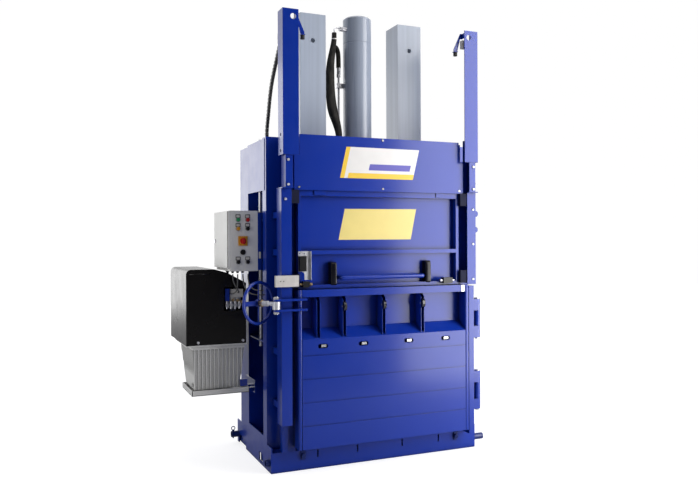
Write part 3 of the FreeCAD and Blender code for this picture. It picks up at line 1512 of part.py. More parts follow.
def main_switch_base():
    """The square plate behind the main switch's handle."""
    face = box_y[0]
    x, z = main_switch_x, main_switch_z
    half = main_switch_plate / 2
    plate = box((x - half, x + half), (face - main_switch_sheet, face), (z - half, z + half))
    return plate.cut(cylinder(main_switch_bore, (x, face - main_switch_sheet - 1, z), (x, face + 1, z)))


def main_switch_knob():
    """The turning handle of the main switch."""
    x, z = main_switch_x, main_switch_z
    face = box_y[0] - main_switch_sheet
    disc_back = face - switch_gap
    disc_front = disc_back - switch_disc[1]
    width, height, thick = switch_bar
    disc = cylinder(switch_disc[0], (x, disc_front, z), (x, disc_back, z))
    bar = box((x - width / 2, x + width / 2), (disc_front + 1 - thick, disc_front + 1),
              (z - height / 2, z + height / 2))
    stem = cylinder(switch_stem[0], (x, face - 1, z), (x, face + switch_stem[1], z))
    return fuse([disc, bar, stem])


def blanking_plug():
    """The round plug under the main switch."""
    face = box_y[0]
    return cylinder(plug_diameter, (main_switch_x, face - plug_height, plug_z), (main_switch_x, face, plug_z))


def box_fittings():
    """The black plug in the box's front and the hexagon glands under it."""
    glands = []
    low = box_z[0]
    nut_bottom = low - gland_nut[1]
    for x in gland_x:
        glands.append(fuse([
            hex_head(gland_nut[0], (x, 0, nut_bottom), (x, 0, low)),
            cylinder(gland_thread[0], (x, 0, low - 1), (x, 0, low + gland_thread[1])),
            cylinder(gland_spout[0], (x, 0, nut_bottom - gland_spout[1]), (x, 0, nut_bottom)),
        ]))
    return Part.makeCompound(glands + [blanking_plug()])


def control_bracket():
    """The sheet channel between the control box and the left side frame."""
    x = (box_x[1], -half_width)
    sheet = box_bracket_sheet
    body = box(x, box_y, box_bracket_z)
    body = body.cut(box((x[0] + sheet, x[1] + 1), inset(box_y, sheet), box_bracket_z))
    middle = sum(x) / 2
    half = cable_slot_width / 2
    through = (box_y[0] - 1, box_y[0] + sheet + 1)
    slot = [box((middle - half, middle + half), through, cable_slot_z)]
    for z in cable_slot_z:
        slot.append(cylinder(cable_slot_width, (middle, through[0], z), (middle, through[1], z)))
    return body.cut(fuse(slot))


# ================================================================ power pack
def oil_tank():
    """The cast tank: a tapered body with a rim at its top and ribs down its sides."""
    low, high = tank_z[0], tank_z[1] - tank_rim
    body_foot = level_ring(inset(tank_bottom_x, tank_rib), inset(tank_bottom_y, tank_rib), low)
    body_top = level_ring(inset(tank_top_x, tank_rib), inset(tank_top_y, tank_rib), high)
    rib_foot = level_ring(tank_bottom_x, tank_bottom_y, low)
    rib_top = level_ring(tank_top_x, tank_top_y, high)
    body = Part.makeLoft([body_foot, body_top], True, True)
    outer = Part.makeLoft([rib_foot, rib_top], True, True)
    beyond_x = (tank_top_x[0] - 5, tank_top_x[1] + 5)
    beyond_y = (tank_top_y[0] - 5, tank_top_y[1] + 5)
    slices = [box((x, x + tank_rib_width), beyond_y, tank_z) for x in rib_places(tank_top_x)]
    slices += [box(beyond_x, (y, y + tank_rib_width), tank_z) for y in rib_places(tank_top_y)]
    ribs = outer.common(slices[0].multiFuse(slices[1:]))
    rim = box(tank_top_x, tank_top_y, (high, tank_z[1]))
    lid = box((hood_x[0] + tank_lid_edge[0], hood_x[1]), (hood_y[0], tank_top_y[1] + tank_lid_edge[1]),
              (tank_z[1], hood_z[0]))
    return fuse([body, ribs, rim, lid, drain_plug()])


def level_ring(x, y, z):
    """A level rectangle at a height."""
    corners = [Vector(x[0], y[0], z), Vector(x[1], y[0], z), Vector(x[1], y[1], z), Vector(x[0], y[1], z)]
    return Part.makePolygon(corners + corners[:1])


def rib_places(side):
    """Where the tank's ribs begin along one side."""
    count = int((side[1] - side[0]) // tank_rib_pitch)
    return [side[0] + tank_rib_start + number * tank_rib_pitch for number in range(count)]


def power_hood():
    """The black sheet hood over the motor, rounded at its top left, sloped at its top right."""
    x, y, z = hood_x, hood_y, hood_z
    front = y[0]
    edges = [
        Part.makeLine(Vector(x[0], front, z[0]), Vector(x[0], front, z[1] - hood_round)),
        Part.Arc(Vector(x[0], front, z[1] - hood_round),
                 Vector(x[0] + hood_arc_middle * hood_round, front, z[1] - hood_arc_middle * hood_round),
                 Vector(x[0] + hood_round, front, z[1])).toShape(),
    ]
    corners = [Vector(x[0] + hood_round, front, z[1])]
    corners += [Vector(x[1] - across, front, z[1] - drop) for across, drop in hood_slope]
    corners += [Vector(x[1], front, z[0]), Vector(x[0], front, z[0])]
    for start, end in zip(corners, corners[1:]):
        edges.append(Part.makeLine(start, end))
    outline = Part.Wire(edges)
    solid = Part.Face(outline).extrude(Vector(0, y[1] - front, 0))
    t = hood_sheet
    core = Part.Face(outline).extrude(Vector(0, y[1] - front - 2 * t, 0))
    scale = FreeCAD.Matrix()
    scale.scale((x[1] - x[0] - 2 * t) / (x[1] - x[0]), 1, (z[1] - z[0] - t) / (z[1] - z[0]))
    core = core.transformGeometry(scale)
    bounds = core.BoundBox
    core.translate(Vector(x[0] + t - bounds.XMin, front + t - bounds.YMin,
                          z[0] - hood_foot_gap - bounds.ZMin))
    cut_out = box(hood_cut_x, (front - 1, front + t + 1), hood_cut_z)
    return cut(solid, [core, cut_out])


def pump_motor():
    """The finned electric motor that stands on the tank under the hood."""
    low = hood_z[0]
    x, y = motor_x, motor_y
    foot_top = low + motor_foot[1]
    stack_top = low + motor_barrel[1]
    pieces = [
        cylinder(motor_foot[0], (x, y, low), (x, y, foot_top)),
        cylinder(motor_barrel[0], (x, y, foot_top), (x, y, stack_top)),
        cylinder(motor_fan[0], (x, y, stack_top), (x, y, stack_top + motor_fan[1])),
    ]
    half = motor_fin[2] / 2
    for number in range(motor_fins):
        fin = box((x + motor_fin[0], x + motor_fin[1]), (y - half, y + half),
                  (low + motor_fin_z[0], low + motor_fin_z[1]))
        fin.rotate(Vector(x, y, 0), Vector(0, 0, 1), 360 / motor_fins * number)
        pieces.append(fin)
    return fuse(pieces)


def valve_block():
    """The valve block with its coils and pipe unions behind the hood's cut-out, and the motor."""
    left, front, bottom = valve_x[0], valve_y[0], valve_z[0]
    stand = box(inset(valve_x, valve_stand_inset[0]), inset(valve_y, valve_stand_inset[1]),
                (hood_z[0], bottom))
    pieces = [box(valve_x, valve_y, valve_z), stand]
    for across, rise in union_at:
        x, z = left + across, bottom + rise
        pieces.append(hex_head(union_across, (x, front - union_length, z), (x, front, z)))
        pieces.append(cylinder(union_pipe[0], (x, front - union_pipe[1], z), (x, front - union_length, z)))
    middle_y = sum(valve_y) / 2
    for x in inset(valve_x, coil_inset):
        pieces.append(cylinder(coil[0], (x, middle_y, valve_z[1]), (x, middle_y, valve_z[1] + coil[1])))
    return Part.makeCompound([fuse(pieces), pump_motor()])


def power_console():
    """The tray under the tank and the blue console that hangs it on the left side frame."""
    plate_x = (-half_width - console_sheet, -half_width)
    tray = box(tray_x, tray_y, tray_z)
    tray = tray.cut(box(inset(tray_x, tray_sheet), inset(tray_y, tray_sheet),
                        (tray_z[0] + tray_sheet, tray_z[1] + 1)))
    pieces = [tray, box(plate_x, console_y, console_z),
              box((tray_x[1], plate_x[0]), console_bracket_y, console_bracket_z)]
    for y in tray_arm_y:
        pieces.append(box((tray_x[0], plate_x[0]), y, (tray_z[0] - tray_arm_height, tray_z[0])))
    return Part.makeCompound(pieces + tank_feet())


def tank_feet():
    """Four round feet between the tank and the tray."""
    feet = []
    for x in inset(tank_bottom_x, tank_foot_inset):
        for y in inset(tank_bottom_y, tank_foot_inset):
            feet.append(cylinder(tank_foot_diameter, (x, y, tray_z[0] + tray_sheet), (x, y, tank_z[0])))
    return feet


def drain_plug():
    """The drain plug on the tank's left side."""
    side = tank_bottom_x[0]
    across, thick = drain_hex
    diameter, out, root = drain_neck
    head = hex_head(across, (side - out - thick, drain_y, drain_z), (side - out, drain_y, drain_z))
    neck = cylinder(diameter, (side - out, drain_y, drain_z), (side + root, drain_y, drain_z))
    return fuse([head, neck])


# ================================================================ fasteners
def frame_hardware():
    """Screws and bolts on show on the fixed frame, and the link chain's two brackets."""
    bolts = []
    for side in (-1, 1):
        for z in insert_screw_z:
            bolts.append(front_screw(side * insert_screw_x, insert_y[0], z, *insert_screw))
    for z in guide_screw_z:
        bolts.append(front_screw(guide_screw_x, guide_y[0], z, *guide_screw))
    x, z, across, height = left_guide_screw
    bolts.append(front_screw(x, guide_y[0], z, across, height))
    width, thick = skirt_block
    middle_z = sum(skirt_block_z) / 2
    for x in skirt_block_x:
        block = box((x - width / 2, x + width / 2), (-half_depth - thick, -half_depth), skirt_block_z)
        head = front_screw(x, -half_depth - thick, middle_z, skirt_bolt_across, skirt_bolt_head)
        bolts.append(fuse([block, head]))
    return Part.makeCompound(bolts + chain_brackets())


def front_screw(x, face_y, z, across, height):
    """A hexagon head on a face that looks to the front."""
    return hex_head(across, (x, face_y - height, z), (x, face_y, z))



# ================================================================ all sub-parts
PARTS = {
    "base_frame": base_frame,
    "lifting_bars": lifting_bars,
    "chamber_walls": chamber_walls,
    "side_frames": side_frames,
    "top_frame": top_frame,
    "guide_pads": guide_pads,
    "door_guides": door_guides,
    "posts": posts,
    "stop_arms": stop_arms,
    "rubber_buffers": rubber_buffers,
    "switch_boxes": switch_boxes,
    "hinge_pins": hinge_pins,
    "cylinder_barrel": cylinder_barrel,
    "cylinder_hoses": cylinder_hoses,
    "hydraulic_pipes": hydraulic_pipes,
    "cable_carrier": cable_carrier,
    "frame_hardware": frame_hardware,
    "control_box": control_box,
    "control_bracket": control_bracket,
    "button_bezels": button_bezels,
    "main_switch_base": main_switch_base,
    "box_fittings": box_fittings,
    "box_hinges": box_hinges,
    "control_box_door": control_box_door,
    "cam_lock": cam_lock,
    "main_switch_knob": main_switch_knob,
    "power_console": power_console,
    "oil_tank": oil_tank,
    "power_hood": power_hood,
    "valve_block": valve_block,
    "press_platen": press_platen,
    "piston_rod": piston_rod,
    "ram_guide_tubes": ram_guide_tubes,
    "loading_door_frame": loading_door_frame,
    "loading_door_panel": loading_door_panel,
    "door_cover": door_cover,
    "slide_blocks": slide_blocks,
    "door_grips": door_grips,
    "door_handle": door_handle,
    "latch_housings": latch_housings,
    "latch_pin_left": latch_pin_left,
    "latch_pin_right": latch_pin_right,
    "interlock_plate": interlock_plate,
    "bale_door_frame": bale_door_frame,
    "bale_door_panel": bale_door_panel,
    "strap_fins": strap_fins,
    "door_pins": door_pins,
    "hinge_stile": hinge_stile,
    "lock_spindle": lock_spindle,
    "lock_nut": lock_nut,
    "handwheel": handwheel,
}
BUTTONS = {
    "button_green": (button_x[0], button_rows_z[0]),
    "button_red": (button_x[1], button_rows_z[0]),
    "button_yellow": (button_x[0], button_rows_z[1]),
    "button_black": (button_x[1], button_rows_z[1]),
    "button_low_left": (button_x[0], button_rows_z[2]),
    "button_low_right": (button_x[1], button_rows_z[2]),
}

for node, make in PARTS.items():
    write(node, make())
for node, (x, z) in BUTTONS.items():
    write(node, push_button(x, z))
for number, centre in enumerate(fin_pair_x[1:], 1):
    write(f"strap_roller_{number}", strap_roller(centre))
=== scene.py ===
"""Looks and light for a vertical recycling baler.

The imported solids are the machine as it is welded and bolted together. From the floor up, this script
gives each of them its paint, metal or plastic, and adds what is sheet, sleeve, cable, film or small
casting. Metres; X to the right, Y to the back, Z up; the origin is on the floor at the base's middle.
"""
import math

import bmesh
import bpy
from mathutils import Matrix, Vector


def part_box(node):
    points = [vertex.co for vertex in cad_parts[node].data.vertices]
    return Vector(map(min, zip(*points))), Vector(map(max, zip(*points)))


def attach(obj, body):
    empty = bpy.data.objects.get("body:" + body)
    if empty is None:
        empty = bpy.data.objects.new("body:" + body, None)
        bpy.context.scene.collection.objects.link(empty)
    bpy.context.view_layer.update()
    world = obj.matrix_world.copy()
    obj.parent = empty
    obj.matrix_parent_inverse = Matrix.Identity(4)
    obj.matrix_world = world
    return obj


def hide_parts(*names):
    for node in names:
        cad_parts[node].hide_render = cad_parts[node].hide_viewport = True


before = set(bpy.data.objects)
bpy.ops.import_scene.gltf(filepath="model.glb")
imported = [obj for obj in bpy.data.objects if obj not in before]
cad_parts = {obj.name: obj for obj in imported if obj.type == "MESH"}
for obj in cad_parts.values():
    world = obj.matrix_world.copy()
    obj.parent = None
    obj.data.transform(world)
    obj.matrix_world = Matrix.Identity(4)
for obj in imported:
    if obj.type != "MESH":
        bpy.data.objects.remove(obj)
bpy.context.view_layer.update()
scene = bpy.context.scene

# ---------------------------------------------------------------- camera
# A long-lens view from the left of the machine's front, level with the top of the bale door. The lens
# is given in pixels of the 698 pixel wide picture.
CAMERA_AT = Vector((-2.1283, -4.8885, 1.5048))
CAMERA_YAW = math.radians(23.18047)
CAMERA_PITCH = math.radians(-0.08707)
CAMERA_ROLL = math.radians(-0.22806)
FOCAL_PIXELS = 725.3
PICTURE_WIDTH = 698.0
SENSOR_WIDTH = 36.0
SEEN_DEPTH = 100.0

forward = Vector((math.sin(CAMERA_YAW) * math.cos(CAMERA_PITCH),
                  math.cos(CAMERA_YAW) * math.cos(CAMERA_PITCH), math.sin(CAMERA_PITCH)))
level = Vector((math.cos(CAMERA_YAW), -math.sin(CAMERA_YAW), 0.0))
upright = level.cross(forward)
right_way = math.cos(CAMERA_ROLL) * level + math.sin(CAMERA_ROLL) * upright
top_way = math.cos(CAMERA_ROLL) * upright - math.sin(CAMERA_ROLL) * level
camera_data = bpy.data.cameras.new("camera")
camera_data.sensor_fit = "HORIZONTAL"
camera_data.sensor_width = SENSOR_WIDTH
camera_data.lens = FOCAL_PIXELS * SENSOR_WIDTH / PICTURE_WIDTH
camera_data.clip_end = SEEN_DEPTH
camera = bpy.data.objects.new("camera", camera_data)
camera.matrix_world = (Matrix.Translation(CAMERA_AT)
                       @ Matrix((right_way, top_way, -forward)).transposed().to_4x4())
scene.collection.objects.link(camera)
scene.camera = camera


# ---------------------------------------------------------------- base, chamber and side frames
# The base, the chamber's walls, the side frames and the two beams on top are steel plate and tube, seam
# welded and sprayed with one gloss ultramarine enamel. It pulls thin on edges and has a faint orange
# peel, and painted shade darkens it in the corners and joints.
def put(tree, kind, **values):
    """Adds a node. A value is set on, or a socket is linked to, the input or setting of that name."""
    node = tree.nodes.new(kind)
    for name, value in values.items():
        if name.startswith("_"):
            socket = node.inputs[int(name[1:])]
        elif name.replace("_", " ") in node.inputs:
            socket = node.inputs[name.replace("_", " ")]
        else:
            setattr(node, name, value)
            continue
        if isinstance(value, bpy.types.NodeSocket):
            tree.links.new(value, socket)
        else:
            socket.default_value = value
    return node


def new_surface(name, **inputs):
    """A node group that works out a surface's colour, roughness and normal."""
    group = bpy.data.node_groups.new(name, "ShaderNodeTree")
    for label, value in inputs.items():
        kind = "NodeSocketColor" if isinstance(value, tuple) else "NodeSocketFloat"
        socket = group.interface.new_socket(name=label.replace("_", " "), in_out="INPUT",
                                            socket_type=kind)
        socket.default_value = (*value, 1.0) if isinstance(value, tuple) else value
    for label, kind in (("Colour", "Color"), ("Roughness", "Float"), ("Normal", "Vector")):
        group.interface.new_socket(name=label, in_out="OUTPUT", socket_type="NodeSocket" + kind)
    return group, group.nodes.new("NodeGroupInput").outputs


def grain(tree, scale, detail=3.0, stretch=(1.0, 1.0, 1.0)):
    """Noise in the machine's own metres, drawn out along an axis where stretch is small."""
    place = put(tree, "ShaderNodeTexCoord").outputs["Object"]
    if stretch != (1.0, 1.0, 1.0):
        place = put(tree, "ShaderNodeMapping", Vector=place, Scale=stretch).outputs["Vector"]
    return put(tree, "ShaderNodeTexNoise", Vector=place, Scale=scale, Detail=detail).outputs["Fac"]


def spread(tree, value, low, high, start=0.35, end=0.65):
    """Maps a value from start..end to low..high."""
    return put(tree, "ShaderNodeMapRange", Value=value, From_Min=start, From_Max=end,
               To_Min=low, To_Max=high).outputs["Result"]


def arithmetic(tree, operation, first, second):
    """One sum on two numbers or sockets."""
    return put(tree, "ShaderNodeMath", operation=operation, _0=first, _1=second).outputs[0]


def tinted(tree, colour, brightness):
    """A colour made lighter or darker by a number."""
    return put(tree, "ShaderNodeMix", data_type="RGBA", blend_type="MULTIPLY", _0=1.0, _6=colour,
               _7=brightness).outputs[2]


def uneven(tree, value, pattern, low, high):
    """A number that varies between two shares of itself over a pattern."""
    return arithmetic(tree, "MULTIPLY", value, spread(tree, pattern, low, high))


def bumped(tree, height, strength, distance, edge):
    """The normal of a grain over edges that are worn round."""
    soft = put(tree, "ShaderNodeBevel", samples=4, Radius=edge).outputs["Normal"]
    return put(tree, "ShaderNodeBump", Strength=strength, Distance=distance, Height=height,
               Normal=soft).outputs["Normal"]


def painted_corner_shade(tree, reach, deep):
    """Painted shade: down to a low number in the corners and joints, where shade falls, else 1."""
    corner = put(tree, "ShaderNodeAmbientOcclusion", samples=4, Distance=reach).outputs["AO"]
    return spread(tree, corner, low=deep, high=1.0, start=0.25, end=0.9)


def give(group, colour, roughness, normal):
    """What a surface group puts out."""
    put(group, "NodeGroupOutput", Colour=colour, Roughness=roughness, Normal=normal)


def finish(name, surface, on_shader=None, **values):
    """A material: the surface group drives the shader, and uniform values sit on the shader itself."""
    made = bpy.data.materials.new(name)
    made.use_nodes = True
    tree = made.node_tree
    shader = tree.nodes["Principled BSDF"]
    look = put(tree, "ShaderNodeGroup", node_tree=surface)
    for label, value in values.items():
        socket = look.inputs[label.replace("_", " ")]
        socket.default_value = (*value, 1.0) if isinstance(value, tuple) else value
    for source, socket in (("Colour", "Base Color"), ("Roughness", "Roughness"), ("Normal", "Normal")):
        tree.links.new(look.outputs[source], shader.inputs[socket])
    for label, value in (on_shader or {}).items():
        shader.inputs[label].default_value = value
    if "Colour" in values:
        made.diffuse_color = (*values["Colour"], 1.0)
    return made


def dress(material, *names):
    """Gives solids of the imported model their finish."""
    for name in names:
        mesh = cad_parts[name].data
        mesh.materials.clear()
        mesh.materials.append(material)


DUST_COLOUR = (0.45, 0.44, 0.42, 1.0)
enamel, ins = new_surface("enamel", Colour=(0.004, 0.042, 0.42), Gloss=0.3, Peel=0.03, Dust=0.02,
                          Edge=0.0015)
tone = spread(enamel, grain(enamel, scale=1.7), low=0.97, high=1.03)
facing = put(enamel, "ShaderNodeSeparateXYZ",
             Vector=put(enamel, "ShaderNodeNewGeometry").outputs["Normal"])
on_tops = spread(enamel, facing.outputs["Z"], low=0.0, high=ins["Dust"], start=0.6, end=1.0)
settled = uneven(enamel, on_tops, grain(enamel, scale=30.0), low=0.2, high=1.0)
dusty = put(enamel, "ShaderNodeMix", data_type="RGBA", _0=settled,
            _6=tinted(enamel, ins["Colour"], tone), _7=DUST_COLOUR).outputs[2]
# Painted shade darkens the enamel in its corners and joints.
give(enamel, tinted(enamel, dusty, painted_corner_shade(enamel, reach=0.03, deep=0.25)),
     uneven(enamel, ins["Gloss"], grain(enamel, scale=9.0), low=0.9, high=1.1),
     bumped(enamel, grain(enamel, scale=260.0, detail=2.0), strength=ins["Peel"], distance=0.0006,
            edge=ins["Edge"]))

blue_enamel = finish("blue_enamel", enamel,
                     {"Specular IOR Level": 0.22, "Coat Weight": 0.6, "Coat Roughness": 0.16},
                     Colour=(0.002, 0.028, 0.31), Gloss=0.32)
dress(blue_enamel, "base_frame", "chamber_walls", "side_frames", "top_frame", "control_bracket")

# ---------------------------------------------------------------- lifting bars
# Two lengths of steel pipe pushed through the base, painted a dull dark blue over the mill surface, and
# kept in by a pin at the left.
DARK_BLUE = (0.004, 0.02, 0.16)
metal, ins = new_surface("metal", Colour=(0.6, 0.6, 0.62), Polish=0.3, Clouding=0.15, Brushing=0.06,
                         Brush_scale=60.0, Edge=0.0008, Paint=(0.6, 0.6, 0.62), Paint_below=-1.0)
cloud = spread(metal, grain(metal, scale=24.0, detail=5.0),
               low=arithmetic(metal, "SUBTRACT", 1.0, ins["Clouding"]), high=1.0)
brush = grain(metal, scale=1.0, detail=2.0, stretch=(1.0, 1.0, 0.08))
metal.links.new(ins["Brush scale"], brush.node.inputs["Scale"])
place = put(metal, "ShaderNodeSeparateXYZ", Vector=put(metal, "ShaderNodeTexCoord").outputs["Object"])
painted = arithmetic(metal, "LESS_THAN", place.outputs["Z"], ins["Paint below"])
coated = put(metal, "ShaderNodeMix", data_type="RGBA", _0=painted, _6=ins["Colour"],
             _7=ins["Paint"]).outputs[2]
give(metal, tinted(metal, coated, cloud),
     uneven(metal, ins["Polish"], grain(metal, scale=40.0), low=0.75, high=1.25),
     bumped(metal, brush, strength=ins["Brushing"], distance=0.0004, edge=ins["Edge"]))

bar_paint = finish("bar_paint", metal, {"Metallic": 0.0}, Colour=DARK_BLUE, Polish=0.4, Clouding=0.3)
dress(bar_paint, "lifting_bars")

# ---------------------------------------------------------------- press plate and guide tubes
# The ram is a welded plate under two square tubes. The tubes are rolled section in a satin blue-grey
# paint that shows the rolling as long upright streaks, and the rod between them is ground and chromed.
rolled, ins = new_surface("rolled", Colour=(0.2, 0.22, 0.25), Gloss=0.36, Streaks=0.06, Edge=0.0015)


def varied(tree, value, amount):
    """A pattern that runs from 1 less an amount to 1 more than it."""
    return spread(tree, value, low=arithmetic(tree, "SUBTRACT", 1.0, amount),
                  high=arithmetic(tree, "ADD", 1.0, amount))


streak = varied(rolled, grain(rolled, scale=34.0, stretch=(1.0, 1.0, 0.02)), ins["Streaks"])
give(rolled, tinted(rolled, ins["Colour"], streak),
     uneven(rolled, ins["Gloss"], grain(rolled, scale=50.0, stretch=(1.0, 1.0, 0.05)), low=0.85,
            high=1.15),
     bumped(rolled, grain(rolled, scale=160.0, detail=2.0, stretch=(1.0, 1.0, 0.3)), strength=0.05,
            distance=0.0005, edge=ins["Edge"]))

tube_paint = finish("tube_paint", rolled, {"Coat Weight": 0.5, "Coat Roughness": 0.25},
                    Colour=(0.36, 0.41, 0.50))
bright_steel = finish("bright_steel", metal, {"Metallic": 0.6}, Colour=(0.70, 0.70, 0.74), Polish=0.2)
dress(blue_enamel, "press_platen")
dress(tube_paint, "ram_guide_tubes")
dress(bright_steel, "piston_rod")

# ---------------------------------------------------------------- hydraulic cylinder
# The barrel is turned tube, with a flange that sits on the beams. It is sprayed in a darker, glossier
# grey than the tubes beside it.
barrel_paint = finish("barrel_paint", rolled, {"Coat Weight": 0.35, "Coat Roughness": 0.2},
                      Colour=(0.29, 0.33, 0.41), Gloss=0.3)
dress(barrel_paint, "cylinder_barrel")

# ---------------------------------------------------------------- hoses and pipes at the cylinder
# Two rubber hoses in woven sleeves rise from the beams, bow out to the left and turn over into their
# fittings. A pale tie gathers them under the top collar; the steel pipe and its unions are plated.
FRONT_HOSE = ((-0.168, -0.130, 2.160), (-0.162, -0.130, 2.235), (-0.184, -0.130, 2.320),
              (-0.217, -0.127, 2.405), (-0.227, -0.121, 2.500), (-0.227, -0.116, 2.595),
              (-0.226, -0.112, 2.685), (-0.216, -0.108, 2.770), (-0.200, -0.104, 2.850),
              (-0.187, -0.102, 2.925), (-0.187, -0.102, 2.972))
BACK_HOSE = ((-0.147, -0.096, 2.160), (-0.140, -0.096, 2.235), (-0.152, -0.092, 2.325),
             (-0.172, -0.084, 2.415), (-0.185, -0.074, 2.510), (-0.189, -0.066, 2.600),
             (-0.188, -0.060, 2.690), (-0.187, -0.058, 2.780), (-0.186, -0.058, 2.862),
             (-0.168, -0.058, 2.890), (-0.145, -0.058, 2.868), (-0.137, -0.058, 2.820),
             (-0.137, -0.058, 2.736))
FRONT_HOSE_DIAMETERS = (0.036, 0.044, 0.052, 0.060, 0.062, 0.062, 0.060, 0.054, 0.044, 0.036, 0.034)
BACK_HOSE_DIAMETER = 0.034
TIE_AT = (-0.187, -0.102, 2.926)
TIE_HALF_HEIGHT = 0.004
TIE_GRIP = 0.004     # how much wider the tie is than the sleeve


def add_run(curve, points, diameter):
    """One smooth round run in a curve object. Its diameter is one number, or one for each point."""
    run = curve.splines.new("NURBS")
    run.points.add(len(points) - 1)
    widths = diameter if isinstance(diameter, tuple) else (diameter,) * len(points)
    for point, place, width in zip(run.points, points, widths):
        point.co = (*place, 1.0)
        point.radius = width / 2
    run.order_u = 3
    run.use_endpoint_u = True


def runs(name, lines, material, body):
    """Round runs that share a finish. Each line is (points, diameter)."""
    curve = bpy.data.curves.new(name, "CURVE")
    curve.dimensions = "3D"
    curve.bevel_depth = 1.0
    curve.bevel_resolution = 5
    curve.resolution_u = 10
    curve.use_fill_caps = True
    for points, diameter in lines:
        add_run(curve, points, diameter)
    made = bpy.data.objects.new(name, curve)
    made.data.materials.append(material)
    scene.collection.objects.link(made)
    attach(made, body)
    return made


def add_rod(bm, start, end, diameter, segments=24):
    """A round rod between two points."""
    start, end = Vector(start), Vector(end)
    way = end - start
    turn = way.to_track_quat("Z", "Y").to_matrix().to_4x4()
    bmesh.ops.create_cone(bm, cap_ends=True, segments=segments, radius1=diameter / 2,
                          radius2=diameter / 2, depth=way.length,
                          matrix=Matrix.Translation((start + end) / 2) @ turn)


def piece(name, bm, material, body, smooth=False):
    """Turns a bmesh into a piece that rides on a body."""
    bmesh.ops.recalc_face_normals(bm, faces=bm.faces)
    mesh = bpy.data.meshes.new(name)
    for face in bm.faces:
        face.smooth = smooth and len(face.verts) <= 4
    bm.to_mesh(mesh)
    bm.free()
    mesh.materials.append(material)
    made = bpy.data.objects.new(name, mesh)
    scene.collection.objects.link(made)
    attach(made, body)
    return made


sleeve, ins = new_surface("sleeve", Colour=(0.02, 0.017, 0.014), Weave=0.9)
place = put(sleeve, "ShaderNodeTexCoord").outputs["Object"]
drawn_out = put(sleeve, "ShaderNodeMapping", Scale=(1.0, 1.0, 0.45), Vector=place).outputs["Vector"]
weave = put(sleeve, "ShaderNodeTexVoronoi", Scale=190.0, Vector=drawn_out).outputs["Distance"]
fibres = spread(sleeve, grain(sleeve, scale=45.0, detail=4.0, stretch=(1.0, 1.0, 0.35)), low=0.4,
                high=2.4)
give(sleeve, tinted(sleeve, ins["Colour"], fibres),
     spread(sleeve, weave, low=0.55, high=0.8, start=0.0, end=0.7),
     bumped(sleeve, weave, strength=ins["Weave"], distance=0.0015, edge=0.0005))
woven_sleeve = finish("woven_sleeve", sleeve, {"Specular IOR Level": 0.25}, Colour=(0.010, 0.009, 0.008))
hoses = runs("sleeved_hoses", [(FRONT_HOSE, FRONT_HOSE_DIAMETERS), (BACK_HOSE, BACK_HOSE_DIAMETER)],
             woven_sleeve, "frame")
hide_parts("cylinder_hoses")

moulding, ins = new_surface("moulding", Colour=(0.03, 0.03, 0.03), Gloss=0.5, Grain=0.1,
                            Grain_scale=400.0, Wear=0.1, Edge=0.001)
worn = varied(moulding, grain(moulding, scale=14.0), ins["Wear"])
pores = grain(moulding, scale=1.0, detail=2.0)
moulding.links.new(ins["Grain scale"], pores.node.inputs["Scale"])
give(moulding, tinted(moulding, ins["Colour"], worn), ins["Gloss"],
     bumped(moulding, pores, strength=ins["Grain"], distance=0.0005, edge=ins["Edge"]))

pale_plastic = finish("pale_plastic", moulding, Colour=(0.68, 0.66, 0.62), Gloss=0.45)
bm = bmesh.new()
add_rod(bm, (TIE_AT[0], TIE_AT[1], TIE_AT[2] - TIE_HALF_HEIGHT),
        (TIE_AT[0], TIE_AT[1], TIE_AT[2] + TIE_HALF_HEIGHT), FRONT_HOSE_DIAMETERS[-2] + TIE_GRIP)
piece("hose_tie", bm, pale_plastic, "frame", smooth=True)
dress(bright_steel, "hydraulic_pipes")

# ---------------------------------------------------------------- link chain
# The carrier that follows the loading door's leads up to the left post is a row of moulded links in
# black nylon, each snapped into the next.
chain_nylon = finish("chain_nylon", moulding, Colour=(0.012, 0.012, 0.013), Gloss=0.42, Grain=0.2)
dress(chain_nylon, "cable_carrier")

# ---------------------------------------------------------------- guides, posts and stops
# The loading door runs in two folded channels that go on upwards as posts. At their tops, bent arms
# carry the rubber stops, and the right arm a switch. The posts are the same blue as the frame, and the
# screws are zinc plated, but dark blue near the floor, so they are darker towards the bottom.
ZINC = (0.74, 0.75, 0.80)
SCREWS_DARK_BLUE_BELOW = 0.25
rubber = finish("rubber", moulding, Colour=(0.016, 0.015, 0.014), Gloss=0.6, Grain=0.4)
slide_nylon = finish("slide_nylon", moulding, {"Specular IOR Level": 0.15}, Colour=(0.006, 0.008, 0.03),
                     Gloss=0.6)
galvanised = finish("galvanised", metal, {"Metallic": 0.3}, Colour=ZINC, Polish=0.36, Clouding=0.2)
frame_screws = finish("frame_screws", metal, {"Metallic": 0.3}, Colour=ZINC, Polish=0.36,
                      Paint=DARK_BLUE, Paint_below=SCREWS_DARK_BLUE_BELOW)
dress(blue_enamel, "door_guides", "posts")
dress(rubber, "rubber_buffers")
dress(slide_nylon, "guide_pads", "slide_blocks")
dress(frame_screws, "frame_hardware")

# Two round ears and a thin needle are welded to the right guide.
GUIDE_SIDE = 0.720
EAR_HEIGHTS = ((1.546, 1.587), (1.656, 1.701))
EAR_Y = (-0.514, -0.506)
NEEDLE_X = (0.700, 0.735)
NEEDLE_Y = -0.530
NEEDLE_Z = 1.891
NEEDLE_DIAMETER = 0.004


def round_off(bm, edges, radius, segments=3):
    """Rounds edges of a bmesh."""
    bmesh.ops.bevel(bm, geom=list(edges), offset=radius, offset_type="OFFSET", segments=segments,
                    profile=0.5, affect="EDGES", material=-1)


